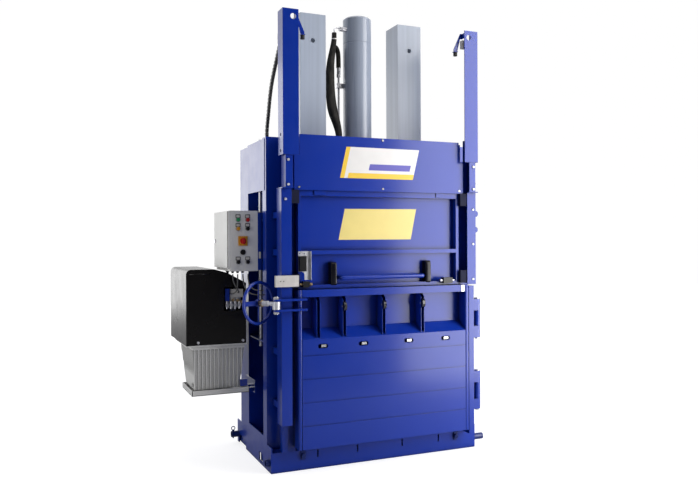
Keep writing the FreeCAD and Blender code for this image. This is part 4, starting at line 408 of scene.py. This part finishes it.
def add_block(bm, x, y, z, rounding=0.0):
    """A block between two corners, its edges rounded where asked."""
    size = Vector((x[1] - x[0], y[1] - y[0], z[1] - z[0]))
    middle = Vector((sum(x) / 2, sum(y) / 2, sum(z) / 2))
    made = bmesh.ops.create_cube(bm, size=1.0,
                                 matrix=Matrix.Translation(middle) @ Matrix.Diagonal((*size, 1.0)))
    if rounding:
        round_off(bm, {edge for vert in made["verts"] for edge in vert.link_edges}, rounding)


def on_side(side, inner, outer):
    """The span between two distances from the middle, on the left (-1) or the right (1)."""
    return tuple(sorted((side * inner, side * outer)))


def thicken(bm, face, depth):
    """Draws a face out backwards into a plate."""
    grown = bmesh.ops.extrude_face_region(bm, geom=[face])
    moved = [item for item in grown["geom"] if isinstance(item, bmesh.types.BMVert)]
    bmesh.ops.translate(bm, verts=moved, vec=(0.0, depth, 0.0))


bm = bmesh.new()
for low, high in EAR_HEIGHTS:
    middle = (low + high) / 2
    add_rod(bm, (GUIDE_SIDE, EAR_Y[0], middle), (GUIDE_SIDE, EAR_Y[1], middle), high - low, segments=32)
piece("guide_ears", bm, blue_enamel, "frame")
bm = bmesh.new()
add_rod(bm, (NEEDLE_X[0], NEEDLE_Y, NEEDLE_Z), (NEEDLE_X[1], NEEDLE_Y, NEEDLE_Z), NEEDLE_DIAMETER,
        segments=12)
piece("guide_needle", bm, galvanised, "frame", smooth=True)

# The arms are flat bars bent down to the stops, welded to the posts' inner edges through a small plate,
# with a shoe at the tip.
POST_EDGE = 0.612
POST_OVERLAP = 0.012
ARM_TOP = 2.945
ARM_ROOT_HEIGHT = 0.036
ARM_SHOULDERS = (0.004, 0.006)     # from the post's edge to the bends, above and below
ARM_TIP_X = 0.568
ARM_TIP_HALF = 0.012
ARM_TIP_HEIGHT = 0.022
ARM_HEEL = (0.016, 0.013)          # the lower bend, from the tip's middle and foot
ARM_Y = (-0.504, -0.496)
SHOE_HALF = 0.015
SHOE_OVERHANG = 0.011
SHOE_HEIGHT = 0.005
SHOE_ROUNDING = 0.001
ROOT_PLATE_THICK = 0.004
ROOT_PLATE_FRONT = -0.546
root = POST_EDGE + POST_OVERLAP
tip_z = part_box("rubber_buffers")[1].z     # the stops' tops
bm = bmesh.new()
for side in (-1, 1):
    outline = ((root, ARM_TOP), (POST_EDGE - ARM_SHOULDERS[0], ARM_TOP),
               (ARM_TIP_X - ARM_TIP_HALF, tip_z + ARM_TIP_HEIGHT), (ARM_TIP_X - ARM_TIP_HALF, tip_z),
               (ARM_TIP_X + ARM_TIP_HALF, tip_z), (ARM_TIP_X + ARM_HEEL[0], tip_z + ARM_HEEL[1]),
               (POST_EDGE - ARM_SHOULDERS[1], ARM_TOP - ARM_ROOT_HEIGHT),
               (root, ARM_TOP - ARM_ROOT_HEIGHT))
    front = bm.faces.new([bm.verts.new((side * x, ARM_Y[0], z)) for x, z in outline])
    thicken(bm, front, ARM_Y[1] - ARM_Y[0])
    add_block(bm, on_side(side, ARM_TIP_X - SHOE_HALF, ARM_TIP_X + SHOE_HALF),
              (ARM_Y[0] - SHOE_OVERHANG, ARM_Y[1] + SHOE_OVERHANG), (tip_z, tip_z + SHOE_HEIGHT),
              SHOE_ROUNDING)
    add_block(bm, on_side(side, root - ROOT_PLATE_THICK, root), (ROOT_PLATE_FRONT, ARM_Y[1]),
              (ARM_TOP - ARM_ROOT_HEIGHT, ARM_TOP))
arms = piece("bent_stop_arms", bm, blue_enamel, "frame")
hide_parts("stop_arms")

# ---------------------------------------------------------------- loading door
# A welded frame of flats with a sheet panel behind it, and a folded cover above, held by four screws
# with bright heads. All of it is sprayed with the frame's enamel.
COVER_FRONT = -0.501
PANEL_FRONT = -0.440
COVER_SCREWS = ((0.0, 2.164), (0.0, 1.839), (-0.595, 1.838), (0.595, 1.838))
COVER_SCREW_DIAMETER = 0.014
COVER_SCREW_HEAD = 0.004
dress(blue_enamel, "loading_door_frame", "loading_door_panel", "door_cover")
bm = bmesh.new()
for x, z in COVER_SCREWS:
    add_rod(bm, (x, COVER_FRONT - COVER_SCREW_HEAD, z), (x, COVER_FRONT, z), COVER_SCREW_DIAMETER)
piece("cover_screws", bm, bright_steel, "loading_door", smooth=True)

# Films stuck on the cover and the panel are plain fields of colour.
HEADER_FILM = ((-0.312, 1.905), (0.227, 1.906), (0.276, 2.111), (-0.265, 2.111))
PANEL_FILM = ((-0.299, 1.499), (0.241, 1.500), (0.284, 1.709), (-0.253, 1.705))
FILM_THICK = 0.0003
OVER_HEADER = COVER_FRONT - FILM_THICK
WHOLE = (0.0, 1.0)
film, ins = new_surface("film", Colour=(0.8, 0.8, 0.8), Gloss=0.35)
give(film, tinted(film, ins["Colour"], spread(film, grain(film, scale=12.0), low=0.97, high=1.0)),
     ins["Gloss"], bumped(film, grain(film, scale=20.0), strength=0.03, distance=0.0006, edge=0.0002))
white_film = finish("white_film", film, Colour=(0.78, 0.77, 0.76))
yellow_film = finish("yellow_film", film, Colour=(0.86, 0.58, 0.05))
pale_yellow_film = finish("pale_yellow_film", film, Colour=(0.80, 0.66, 0.22))
violet_film = finish("violet_film", film, Colour=(0.11, 0.10, 0.46))


def add_field(bm, corners, across, up, y):
    """Part of a slanted film between shares of its width and height."""
    low_left, low_right, top_right, top_left = (Vector((x, 0.0, z)) for x, z in corners)

    def place(u, v):
        low = low_left.lerp(low_right, u)
        return low.lerp(top_left.lerp(top_right, u), v) + Vector((0.0, y, 0.0))

    ring = [bm.verts.new(place(u, v)) for u, v in
            ((across[0], up[0]), (across[1], up[0]), (across[1], up[1]), (across[0], up[1]))]
    thicken(bm, bm.faces.new(ring), FILM_THICK)


for name, corners, across, up, y, material, slot in (
        ("header_film_field", HEADER_FILM, WHOLE, WHOLE, COVER_FRONT, white_film, "pale_plastic"),
        ("header_film_edge", HEADER_FILM, (0.0, 0.055), WHOLE, OVER_HEADER, yellow_film,
         "yellow_plastic"),
        ("header_film_foot", HEADER_FILM, (0.10, 1.0), (0.0, 0.17), OVER_HEADER, yellow_film,
         "yellow_plastic"),
        ("header_film_bar", HEADER_FILM, (0.36, 0.93), (0.27, 0.47), OVER_HEADER, violet_film,
         "door_blue"),
        ("panel_film", PANEL_FILM, WHOLE, WHOLE, PANEL_FRONT, pale_yellow_film, "yellow_plastic")):
    bm = bmesh.new()
    add_field(bm, corners, across, up, y - FILM_THICK)
    piece(name, bm, material, "loading_door")

# ---------------------------------------------------------------- handle and grips
# A bent tube across the door to lift it by, painted with the door, between two black grips with full
# front corners.
GRIP_X = (0.332, 0.372)
GRIP_Z = (1.198, 1.354)
GRIP_REACH = 0.052
GRIP_CORNER = 0.019
GRIP_ROUNDING = 0.005
SHARP_ANGLE = 1.2     # radians; an edge that turns by more is rounded
NEAR_FRONT = 0.01     # an edge whose ends are this far before the panel is one of the grip's front edges
CLOSE = 0.001
HANDLE_Z = 1.251
HANDLE_FRONT = -0.506
HANDLE_HALF = 0.303
HANDLE_DIAMETER = 0.028
HANDLE_BEND = 0.03
grip_black = finish("grip_black", moulding, {"Specular IOR Level": 0.3}, Colour=(0.006, 0.006, 0.010),
                    Gloss=0.14, Grain=0.02)
bm = bmesh.new()
for side in (-1, 1):
    grip = bmesh.new()
    add_block(grip, on_side(side, *GRIP_X), (PANEL_FRONT - GRIP_REACH, PANEL_FRONT), GRIP_Z)
    corners = [edge for edge in grip.edges
               if all(vert.co.y < PANEL_FRONT - NEAR_FRONT for vert in edge.verts)
               and abs(edge.verts[0].co.z - edge.verts[1].co.z) < CLOSE]
    round_off(grip, corners, GRIP_CORNER, segments=6)
    rim = [edge for edge in grip.edges
           if len(edge.link_faces) == 2 and edge.calc_face_angle(0.0) > SHARP_ANGLE
           and not all(vert.co.y > PANEL_FRONT - CLOSE for vert in edge.verts)]
    round_off(grip, rim, GRIP_ROUNDING)
    grip_mesh = bpy.data.meshes.new("grip")
    grip.to_mesh(grip_mesh)
    grip.free()
    bm.from_mesh(grip_mesh)
    bpy.data.meshes.remove(grip_mesh)
grips = piece("door_grip_bars", bm, grip_black, "loading_door", smooth=True)
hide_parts("door_grips")

half_handle = ((HANDLE_HALF, PANEL_FRONT), (HANDLE_HALF, HANDLE_FRONT + HANDLE_BEND),
               (HANDLE_HALF, HANDLE_FRONT), (HANDLE_HALF - HANDLE_BEND, HANDLE_FRONT))
handle_path = ([(-x, y, HANDLE_Z) for x, y in half_handle]
               + [(x, y, HANDLE_Z) for x, y in reversed(half_handle)])
handle = runs("lift_handle", [(handle_path, HANDLE_DIAMETER)], blue_enamel, "loading_door")
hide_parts("door_handle")

# ---------------------------------------------------------------- bolts and switches of the loading door
# Sprung bolts sit at the ends of the bottom rail, one brass and one bright. A position switch stands on
# a galvanised plate at the left, and a cream lock box is screwed to the left guide.
LOCK_BOX_FRONT = -0.545
LOCK_BOX_SCREW_X = (-0.735, -0.715)
LOCK_BOX_SCREW_Z = 1.240
LOCK_BOX_SCREW_HEAD = 0.001
LOCK_BOX_SCREW_SUNK = 0.002
LOCK_BOX_SCREW_DIAMETER = 0.007
black_plastic = finish("black_plastic", moulding, {"Specular IOR Level": 0.4},
                       Colour=(0.011, 0.011, 0.013), Gloss=0.3)
brass = finish("brass", metal, {"Metallic": 1.0}, Colour=(0.72, 0.52, 0.26), Polish=0.28)
lock_box_cream = finish("lock_box_cream", moulding, Colour=(0.60, 0.58, 0.56), Gloss=0.42)
dress(black_plastic, "latch_housings")
dress(brass, "latch_pin_left")
dress(bright_steel, "latch_pin_right")
dress(galvanised, "interlock_plate")
dress(lock_box_cream, "switch_boxes")
bm = bmesh.new()
for x in LOCK_BOX_SCREW_X:
    add_rod(bm, (x, LOCK_BOX_FRONT - LOCK_BOX_SCREW_HEAD, LOCK_BOX_SCREW_Z),
            (x, LOCK_BOX_FRONT + LOCK_BOX_SCREW_SUNK, LOCK_BOX_SCREW_Z), LOCK_BOX_SCREW_DIAMETER,
            segments=12)
piece("lock_box_screws", bm, rubber, "frame")

# ---------------------------------------------------------------- bale door
# The lower door is folded sheet on a plate back: grooves across its front, a sloping shelf, and above
# the shelf four pairs of fins with black rollers that lead the straps. It hangs on two long pins at the
# right. Small bright plates line the strap eyes, and one more ends the beam.
EYE_X = (-0.446, -0.160, 0.176, 0.463)
EYE_Z = 0.816
EYE_PLATE_X = (-0.010, 0.024)     # from the eye's middle
EYE_PLATE_Y = (-0.5248, -0.5210)
EYE_PLATE_HEIGHT = 0.017
BALE_FRONT = -0.530
BEAM_PLATE_X = (0.589, 0.615)
BEAM_PLATE_Z = (1.133, 1.178)
BEAM_PLATE_THICK = 0.003
BEAM_PLATE_ROUNDING = 0.001
roller_black = finish("roller_black", moulding, {"Coat Weight": 1.0, "Coat Roughness": 0.05},
                      Colour=(0.008, 0.008, 0.010), Gloss=0.2, Grain=0.02)
dress(blue_enamel, "bale_door_frame", "bale_door_panel", "strap_fins", "hinge_stile")
dress(bright_steel, "door_pins", "hinge_pins")
dress(roller_black, "strap_roller_1", "strap_roller_2", "strap_roller_3")
bm = bmesh.new()
for x in EYE_X:
    add_block(bm, (x + EYE_PLATE_X[0], x + EYE_PLATE_X[1]), EYE_PLATE_Y,
              (EYE_Z - EYE_PLATE_HEIGHT / 2, EYE_Z + EYE_PLATE_HEIGHT / 2))
add_block(bm, BEAM_PLATE_X, (BALE_FRONT - BEAM_PLATE_THICK, BALE_FRONT), BEAM_PLATE_Z,
          BEAM_PLATE_ROUNDING)
piece("strap_eye_plates", bm, bright_steel, "bale_door")

# ---------------------------------------------------------------- bale door lock
# A screw on a pivot holds the door shut: plated spindle with its thrust sleeve, brass nut, and the blue
# handwheel that turns the nut.
dress(galvanised, "lock_spindle")
dress(brass, "lock_nut")
dress(blue_enamel, "handwheel")

# ---------------------------------------------------------------- control box
# A sheet box in pale textured powder coat, hinged at its left, on a blue channel. Its caps stand in
# bright rings under small plates; the isolator is a red handle on a yellow square.
BOX_FRONT = -0.235
BOX_LEFT = -0.993
BUTTON_X = (-0.926, -0.862)
BUTTON_Z = (1.633, 1.575, 1.356)
PLATE_RISE = 0.023                # from a button's middle to its plate's
PLATE_ROUNDING = 0.0005
HOLDER_SIZE, HOLDER_THICK = (0.032, 0.024), 0.0015
PLATE_SIZE, PLATE_THICK = (0.024, 0.015), 0.0022
powder, ins = new_surface("powder", Colour=(0.5, 0.5, 0.5), Gloss=0.5, Texture=0.25, Edge=0.002)
coat = tinted(powder, ins["Colour"], spread(powder, grain(powder, scale=5.0), low=0.96, high=1.0))
# Painted shade darkens the powder coat in its corners and joints.
give(powder, tinted(powder, coat, painted_corner_shade(powder, reach=0.012, deep=0.3)), ins["Gloss"],
     bumped(powder, grain(powder, scale=420.0, detail=2.0), strength=ins["Texture"], distance=0.0006,
            edge=ins["Edge"]))
box_grey = finish("box_grey", powder, Colour=(0.84, 0.84, 0.82))
green_plastic = finish("green_plastic", moulding, Colour=(0.03, 0.30, 0.11), Gloss=0.25)
red_plastic = finish("red_plastic", moulding, Colour=(0.50, 0.02, 0.02), Gloss=0.25)
yellow_plastic = finish("yellow_plastic", moulding, Colour=(0.80, 0.36, 0.03), Gloss=0.3)
dress(box_grey, "control_box", "control_box_door")
dress(bright_steel, "button_bezels", "cam_lock")
dress(galvanised, "box_hinges")
dress(black_plastic, "box_fittings", "button_black", "button_low_left", "button_low_right")
dress(green_plastic, "button_green")
dress(red_plastic, "button_red", "main_switch_knob")
dress(yellow_plastic, "button_yellow", "main_switch_base")

holders, plates = bmesh.new(), bmesh.new()
for x in BUTTON_X:
    for z in BUTTON_Z:
        for bm, (width, height), thick in ((holders, HOLDER_SIZE, HOLDER_THICK),
                                           (plates, PLATE_SIZE, PLATE_THICK)):
            add_block(bm, (x - width / 2, x + width / 2), (BOX_FRONT - thick, BOX_FRONT),
                      (z + PLATE_RISE - height / 2, z + PLATE_RISE + height / 2), PLATE_ROUNDING)
piece("button_plate_holders", holders, black_plastic, "frame")
piece("button_plates", plates, pale_plastic, "frame")

# A dark strip on the box's side, just behind its door's front edge, is painted shade at the rounded
# corner.
SHADE_STRIP_X = (BOX_LEFT - 0.0006, BOX_LEFT + 0.001)
SHADE_STRIP_Y = (BOX_FRONT + 0.003, BOX_FRONT + 0.022)
SHADE_STRIP_Z = (1.317, 1.687)
bm = bmesh.new()
add_block(bm, SHADE_STRIP_X, SHADE_STRIP_Y, SHADE_STRIP_Z)
piece("box_shade_strip", bm, rubber, "box_door")

# A pale cover closes the oval cable hole in the channel beside the box.
BRACKET_HOLE_X = -0.779
BRACKET_HOLE_Z = (1.384, 1.416)
HOLE_COVER_HALF = 0.007
HOLE_COVER_Y = (BOX_FRONT - 0.001, BOX_FRONT + 0.003)
HOLE_COVER_MARGIN = 0.006
HOLE_COVER_ROUNDING = 0.0009
bm = bmesh.new()
add_block(bm, (BRACKET_HOLE_X - HOLE_COVER_HALF, BRACKET_HOLE_X + HOLE_COVER_HALF), HOLE_COVER_Y,
          (BRACKET_HOLE_Z[0] - HOLE_COVER_MARGIN, BRACKET_HOLE_Z[1] + HOLE_COVER_MARGIN),
          HOLE_COVER_ROUNDING)
piece("cable_hole_cover", bm, pale_plastic, "frame")

# Leads drop from the glands under the box: two to the valve coils, the others round to the side frame.
GLAND_X = (-0.955, -0.922, -0.887, -0.852)
GLAND_Y = -0.205
LEAD_TOP = 1.275
LEAD_DIAMETER = 0.009
LEAD_DROPS = (1.235, 1.225, 1.205, 1.215)     # how far down each lead hangs straight
LEAD_BENDS = (((-0.935, -0.212, 1.190), (-0.905, -0.190, 1.150), (-0.908, -0.140, 1.150)),
              ((-0.930, -0.225, 1.165), (-0.960, -0.190, 1.140), (-0.962, -0.140, 1.150)),
              ((-0.860, -0.270, 1.150), (-0.815, -0.290, 1.140), (-0.765, -0.290, 1.140)),
              ((-0.830, -0.245, 1.175), (-0.800, -0.266, 1.168), (-0.765, -0.266, 1.168)))
lead_grey = finish("lead_grey", moulding, Colour=(0.10, 0.10, 0.10), Gloss=0.45)
leads = [([(x, GLAND_Y, LEAD_TOP), (x, GLAND_Y, drop), *bends], LEAD_DIAMETER)
         for x, drop, bends in zip(GLAND_X, LEAD_DROPS, LEAD_BENDS)]
runs("control_leads", leads, lead_grey, "frame")

# ---------------------------------------------------------------- power pack
# The pump's motor and valves sit on a ribbed cast tank under a black gloss hood, open at the right where
# the valves' unions show. The tank stands in a grey drip tray that two blue arms carry.
hood_black = finish("hood_black", enamel, {"Specular IOR Level": 0.4},
                    Colour=(0.004, 0.0035, 0.004), Gloss=0.25, Dust=0.0, Peel=0.02)
cast_grey = finish("cast_grey", powder, {"Metallic": 0.2}, Colour=(0.72, 0.72, 0.71), Gloss=0.42,
                   Texture=0.6)
dress(hood_black, "power_hood")
dress(cast_grey, "oil_tank")
dress(galvanised, "valve_block")

# The tray is folded sheet. Its arms are welded to a plate on the side frame, and a tab stands at the
# tray's front.
TRAY_X = (-1.221, -0.843)
TRAY_Y = (-0.190, 0.150)
TRAY_Z = (0.490, 0.524)
TRAY_SHEET = 0.004
FRAME_SIDE = -0.765
SIDE_PLATE_THICK = 0.008
SIDE_PLATE_Y = (-0.080, 0.160)
SIDE_PLATE_Z = (0.455, 0.540)
TRAY_ARMS_Y = ((-0.060, -0.020), (0.050, 0.090))
TRAY_ARM_INSET = 0.06      # from the tray's left end
TRAY_ARM_HEIGHT = 0.026
TRAY_ARM_ROUNDING = 0.002
TAB_X = (-0.902, -0.854)
TAB_Y = (-0.186, -0.174)
TAB_Z = (0.531, 0.577)
PLATE_EDGE_ROUNDING = 0.001
bm = bmesh.new()
add_block(bm, TRAY_X, TRAY_Y, (TRAY_Z[0], TRAY_Z[0] + TRAY_SHEET))
for x in ((TRAY_X[0], TRAY_X[0] + TRAY_SHEET), (TRAY_X[1] - TRAY_SHEET, TRAY_X[1])):
    add_block(bm, x, TRAY_Y, TRAY_Z)
for y in ((TRAY_Y[0], TRAY_Y[0] + TRAY_SHEET), (TRAY_Y[1] - TRAY_SHEET, TRAY_Y[1])):
    add_block(bm, TRAY_X, y, TRAY_Z)
piece("drip_tray", bm, cast_grey, "frame")
bm = bmesh.new()
add_block(bm, (FRAME_SIDE - SIDE_PLATE_THICK, FRAME_SIDE), SIDE_PLATE_Y, SIDE_PLATE_Z,
          PLATE_EDGE_ROUNDING)
for y in TRAY_ARMS_Y:
    add_block(bm, (TRAY_X[0] + TRAY_ARM_INSET, FRAME_SIDE - SIDE_PLATE_THICK), y,
              (TRAY_Z[0] - TRAY_ARM_HEIGHT, TRAY_Z[0]), TRAY_ARM_ROUNDING)
add_block(bm, TAB_X, TAB_Y, TAB_Z, PLATE_EDGE_ROUNDING)
arms = piece("tray_arms", bm, blue_enamel, "frame")
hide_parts("power_console")

# Behind the hood's cut-out stand a blue filter head, a pale manifold, and a row of bright unions with
# brass caps above them.
VALVE_FRONT = -0.166
VALVE_BACK = -0.142
FILTER_X = (-0.998, -0.966)
FILTER_Z = (1.095, 1.180)
MANIFOLD_X = (-0.962, -0.872)
MANIFOLD_Z = (1.118, 1.176)
MANIFOLD_SETBACK = 0.010
CASTING_ROUNDING = 0.004
UNION_X = (-0.984, -0.956, -0.928, -0.900)
UNION_Z = 1.070
UNION_REACH = 0.006
UNION_DIAMETER = 0.022            # over the corners of the hexagon
UNION_PIPE_Z = (1.045, 1.095)
UNION_PIPE_SETBACK = 0.004
UNION_PIPE_DIAMETER = 0.014
CAPS = ((-0.944, 1.104), (-0.912, 1.100), (-0.886, 1.090))
CAP_REACH = 0.004
CAP_DIAMETER = 0.020
filter_head, manifold, unions, caps = bmesh.new(), bmesh.new(), bmesh.new(), bmesh.new()
add_block(filter_head, FILTER_X, (VALVE_FRONT, VALVE_BACK), FILTER_Z, CASTING_ROUNDING)
add_block(manifold, MANIFOLD_X, (VALVE_FRONT + MANIFOLD_SETBACK, VALVE_BACK), MANIFOLD_Z,
          CASTING_ROUNDING)
for x in UNION_X:
    pipe_y = VALVE_FRONT + UNION_PIPE_SETBACK
    add_rod(unions, (x, VALVE_FRONT - UNION_REACH, UNION_Z), (x, VALVE_BACK, UNION_Z), UNION_DIAMETER,
            segments=6)
    add_rod(unions, (x, pipe_y, UNION_PIPE_Z[0]), (x, pipe_y, UNION_PIPE_Z[1]), UNION_PIPE_DIAMETER)
for x, z in CAPS:
    add_rod(caps, (x, VALVE_FRONT - CAP_REACH, z), (x, VALVE_BACK, z), CAP_DIAMETER)
piece("oil_filter_head", filter_head, blue_enamel, "frame")
piece("valve_manifold", manifold, pale_plastic, "frame")
piece("valve_unions", unions, bright_steel, "frame")
piece("valve_caps", caps, brass, "frame")

# A bead stiffens the hood's front, and two bolts hold its lower edge to the tank.
HOOD_FRONT = -0.175
HOOD_BEAD_X = (-1.235, -1.092)
HOOD_BEAD_Z = 1.278
HOOD_BEAD_DIAMETER = 0.009
HOOD_BOLTS = ((-1.178, 0.834), (-0.881, 0.834))
HOOD_BOLT_HEIGHT = 0.009
HOOD_BOLT_DIAMETER = 0.018        # over the corners of the hexagon
bm = bmesh.new()
add_rod(bm, (HOOD_BEAD_X[0], HOOD_FRONT, HOOD_BEAD_Z), (HOOD_BEAD_X[1], HOOD_FRONT, HOOD_BEAD_Z),
        HOOD_BEAD_DIAMETER)
piece("hood_bead", bm, hood_black, "frame", smooth=True)
bm = bmesh.new()
for x, z in HOOD_BOLTS:
    add_rod(bm, (x, HOOD_FRONT - HOOD_BOLT_HEIGHT, z), (x, HOOD_FRONT, z), HOOD_BOLT_DIAMETER, segments=6)
piece("hood_bolts", bm, galvanised, "frame")

# ---------------------------------------------------------------- blocks behind the base's pockets
# Solid blocks stand inside the skirt, behind the fork pocket and the side pocket at each end, so that
# no light falls through the base. They have the base's enamel and are painted shade: the real pockets
# are open there and show only shade.
POCKET_X = (0.690, 0.750)
POCKET_BLOCKS = (((-0.246, -0.140), (0.014, 0.081)), ((0.183, 0.391), (0.004, 0.072)))     # Y and Z
bm = bmesh.new()
for side in (-1, 1):
    for y, z in POCKET_BLOCKS:
        add_block(bm, on_side(side, *POCKET_X), y, z)
piece("pocket_shade_blocks", bm, blue_enamel, "frame")

# ---------------------------------------------------------------- studio
# A pale floor and a white backdrop. Two upright soft strips at the right front give most of the light,
# with smaller panels low at the right and near at the left, and weak ones behind at the left, above and
# at the right. The world fills the shadows at a low level.
FLOOR_COLOUR = (0.45, 0.45, 0.46)
FLOOR_HALF = 40
FLOOR_ROUGHNESS = 0.9
FLOOR_SPECULAR = 0.1
FLOOR_GLOW = (0.74, 1.0)     # what the floor adds to itself near the machine and far from it
FLOOR_REACH = (2.2, 6.0)     # and the distances where that starts and ends
BACKDROP_X = (-40, 60)
BACKDROP_Y = 12
BACKDROP_Z = (-1, 40)
WHITE = (1.0, 1.0, 1.0, 1.0)
BLACK = (0.0, 0.0, 0.0, 1.0)
FILL_COLOUR = (0.80, 0.85, 1.0, 1.0)
FILL_LIGHT = 0.06
FILL_GLOSS = 0.02


def flat_sheet(name, corners, material):
    """A flat surface of the studio."""
    bm = bmesh.new()
    bm.faces.new([bm.verts.new(corner) for corner in corners])
    mesh = bpy.data.meshes.new(name)
    bm.to_mesh(mesh)
    bm.free()
    mesh.materials.append(material)
    made = bpy.data.objects.new(name, mesh)
    scene.collection.objects.link(made)


def seen(tree, *rays):
    """1 where a ray of one of these kinds looks."""
    path = put(tree, "ShaderNodeLightPath")
    total = path.outputs[rays[0]]
    for ray in rays[1:]:
        total = arithmetic(tree, "MAXIMUM", total, path.outputs[ray])
    return total


floor_paint = bpy.data.materials.new("floor_paint")
floor_paint.use_nodes = True
tree = floor_paint.node_tree
shader = tree.nodes["Principled BSDF"]
shader.inputs["Base Color"].default_value = (*FLOOR_COLOUR, 1.0)
shader.inputs["Roughness"].default_value = FLOOR_ROUGHNESS
shader.inputs["Specular IOR Level"].default_value = FLOOR_SPECULAR
shader.inputs["Emission Color"].default_value = WHITE
away = put(tree, "ShaderNodeVectorMath", operation="LENGTH",
           _0=put(tree, "ShaderNodeTexCoord").outputs["Object"])
glow = spread(tree, away.outputs["Value"], *FLOOR_GLOW, *FLOOR_REACH)
tree.links.new(arithmetic(tree, "MULTIPLY", seen(tree, "Is Camera Ray"), glow),
               shader.inputs["Emission Strength"])
flat_sheet("floor", [(-FLOOR_HALF, -FLOOR_HALF, 0), (FLOOR_HALF, -FLOOR_HALF, 0),
                     (FLOOR_HALF, FLOOR_HALF, 0), (-FLOOR_HALF, FLOOR_HALF, 0)], floor_paint)

backdrop_white = bpy.data.materials.new("backdrop_white")
backdrop_white.use_nodes = True
shader = backdrop_white.node_tree.nodes["Principled BSDF"]
shader.inputs["Base Color"].default_value = BLACK
shader.inputs["Emission Color"].default_value = WHITE
shader.inputs["Emission Strength"].default_value = 1.0
(left, right), (foot, top) = BACKDROP_X, BACKDROP_Z
flat_sheet("backdrop", [(left, BACKDROP_Y, foot), (right, BACKDROP_Y, foot), (right, BACKDROP_Y, top),
                        (left, BACKDROP_Y, top)], backdrop_white)

world = bpy.data.worlds.new("world")
scene.world = world
world.use_nodes = True
tree = world.node_tree
tree.nodes.clear()
glossy = put(tree, "ShaderNodeMapRange", Value=seen(tree, "Is Glossy Ray"), To_Min=FILL_LIGHT,
             To_Max=FILL_GLOSS)
fill = put(tree, "ShaderNodeBackground", Color=FILL_COLOUR, Strength=glossy.outputs["Result"])
white = put(tree, "ShaderNodeBackground", Color=WHITE, Strength=1.0)
surroundings = put(tree, "ShaderNodeMixShader", Fac=seen(tree, "Is Camera Ray", "Is Transmission Ray"),
                   _1=fill.outputs[0], _2=white.outputs[0])
put(tree, "ShaderNodeOutputWorld", Surface=surroundings.outputs[0])


def panel_light(name, at, aim, size, radiance, colour=(1.0, 1.0, 1.0)):
    """A soft panel of a given brightness, whatever its size."""
    data = bpy.data.lights.new(name, "AREA")
    data.shape = "RECTANGLE"
    data.size, data.size_y = size
    data.energy = radiance * math.pi * size[0] * size[1]
    data.color = colour
    made = bpy.data.objects.new(name, data)
    made.location = at
    made.rotation_euler = (Vector(aim) - Vector(at)).to_track_quat("-Z", "Y").to_euler()
    scene.collection.objects.link(made)


# The front light is two upright strips that face the same way, the right one brighter.
STRIP_SIZE = (0.98, 4.2)
STRIP_HEIGHT = 2.1
STRIP_WAY = (-0.57, 0.82)
STRIP_COLOUR = (1.0, 0.98, 0.97)
for name, x, y, radiance in (("front_strip_left", 1.9, -2.85, 5.4),
                             ("front_strip_right", 2.7, -2.28, 8.0)):
    panel_light(name, (x, y, STRIP_HEIGHT), (x + STRIP_WAY[0], y + STRIP_WAY[1], STRIP_HEIGHT),
                STRIP_SIZE, radiance, STRIP_COLOUR)
for name, at, aim, size, radiance in (
        ("back_left_panel", (-4.5, 9.0, 2.0), (-0.8, 0.0, 1.4), (6.0, 6.0), 1.15),
        ("top_panel", (0.0, -1.0, 5.5), (0.0, 0.0, 1.0), (4.0, 4.0), 1.4),
        ("low_right_panel", (2.4, -2.0, 0.6), (0.7, -0.5, 0.3), (1.0, 0.9), 4.5),
        ("near_left_panel", (-3.2, -1.0, 1.6), (-1.0, -0.2, 1.2), (1.6, 2.2), 2.0),
        ("right_panel", (4.5, 1.0, 2.0), (0.0, 0.3, 1.5), (3.0, 3.6), 1.5)):
    panel_light(name, at, aim, size, radiance)
scene.view_settings.view_transform = "Standard"
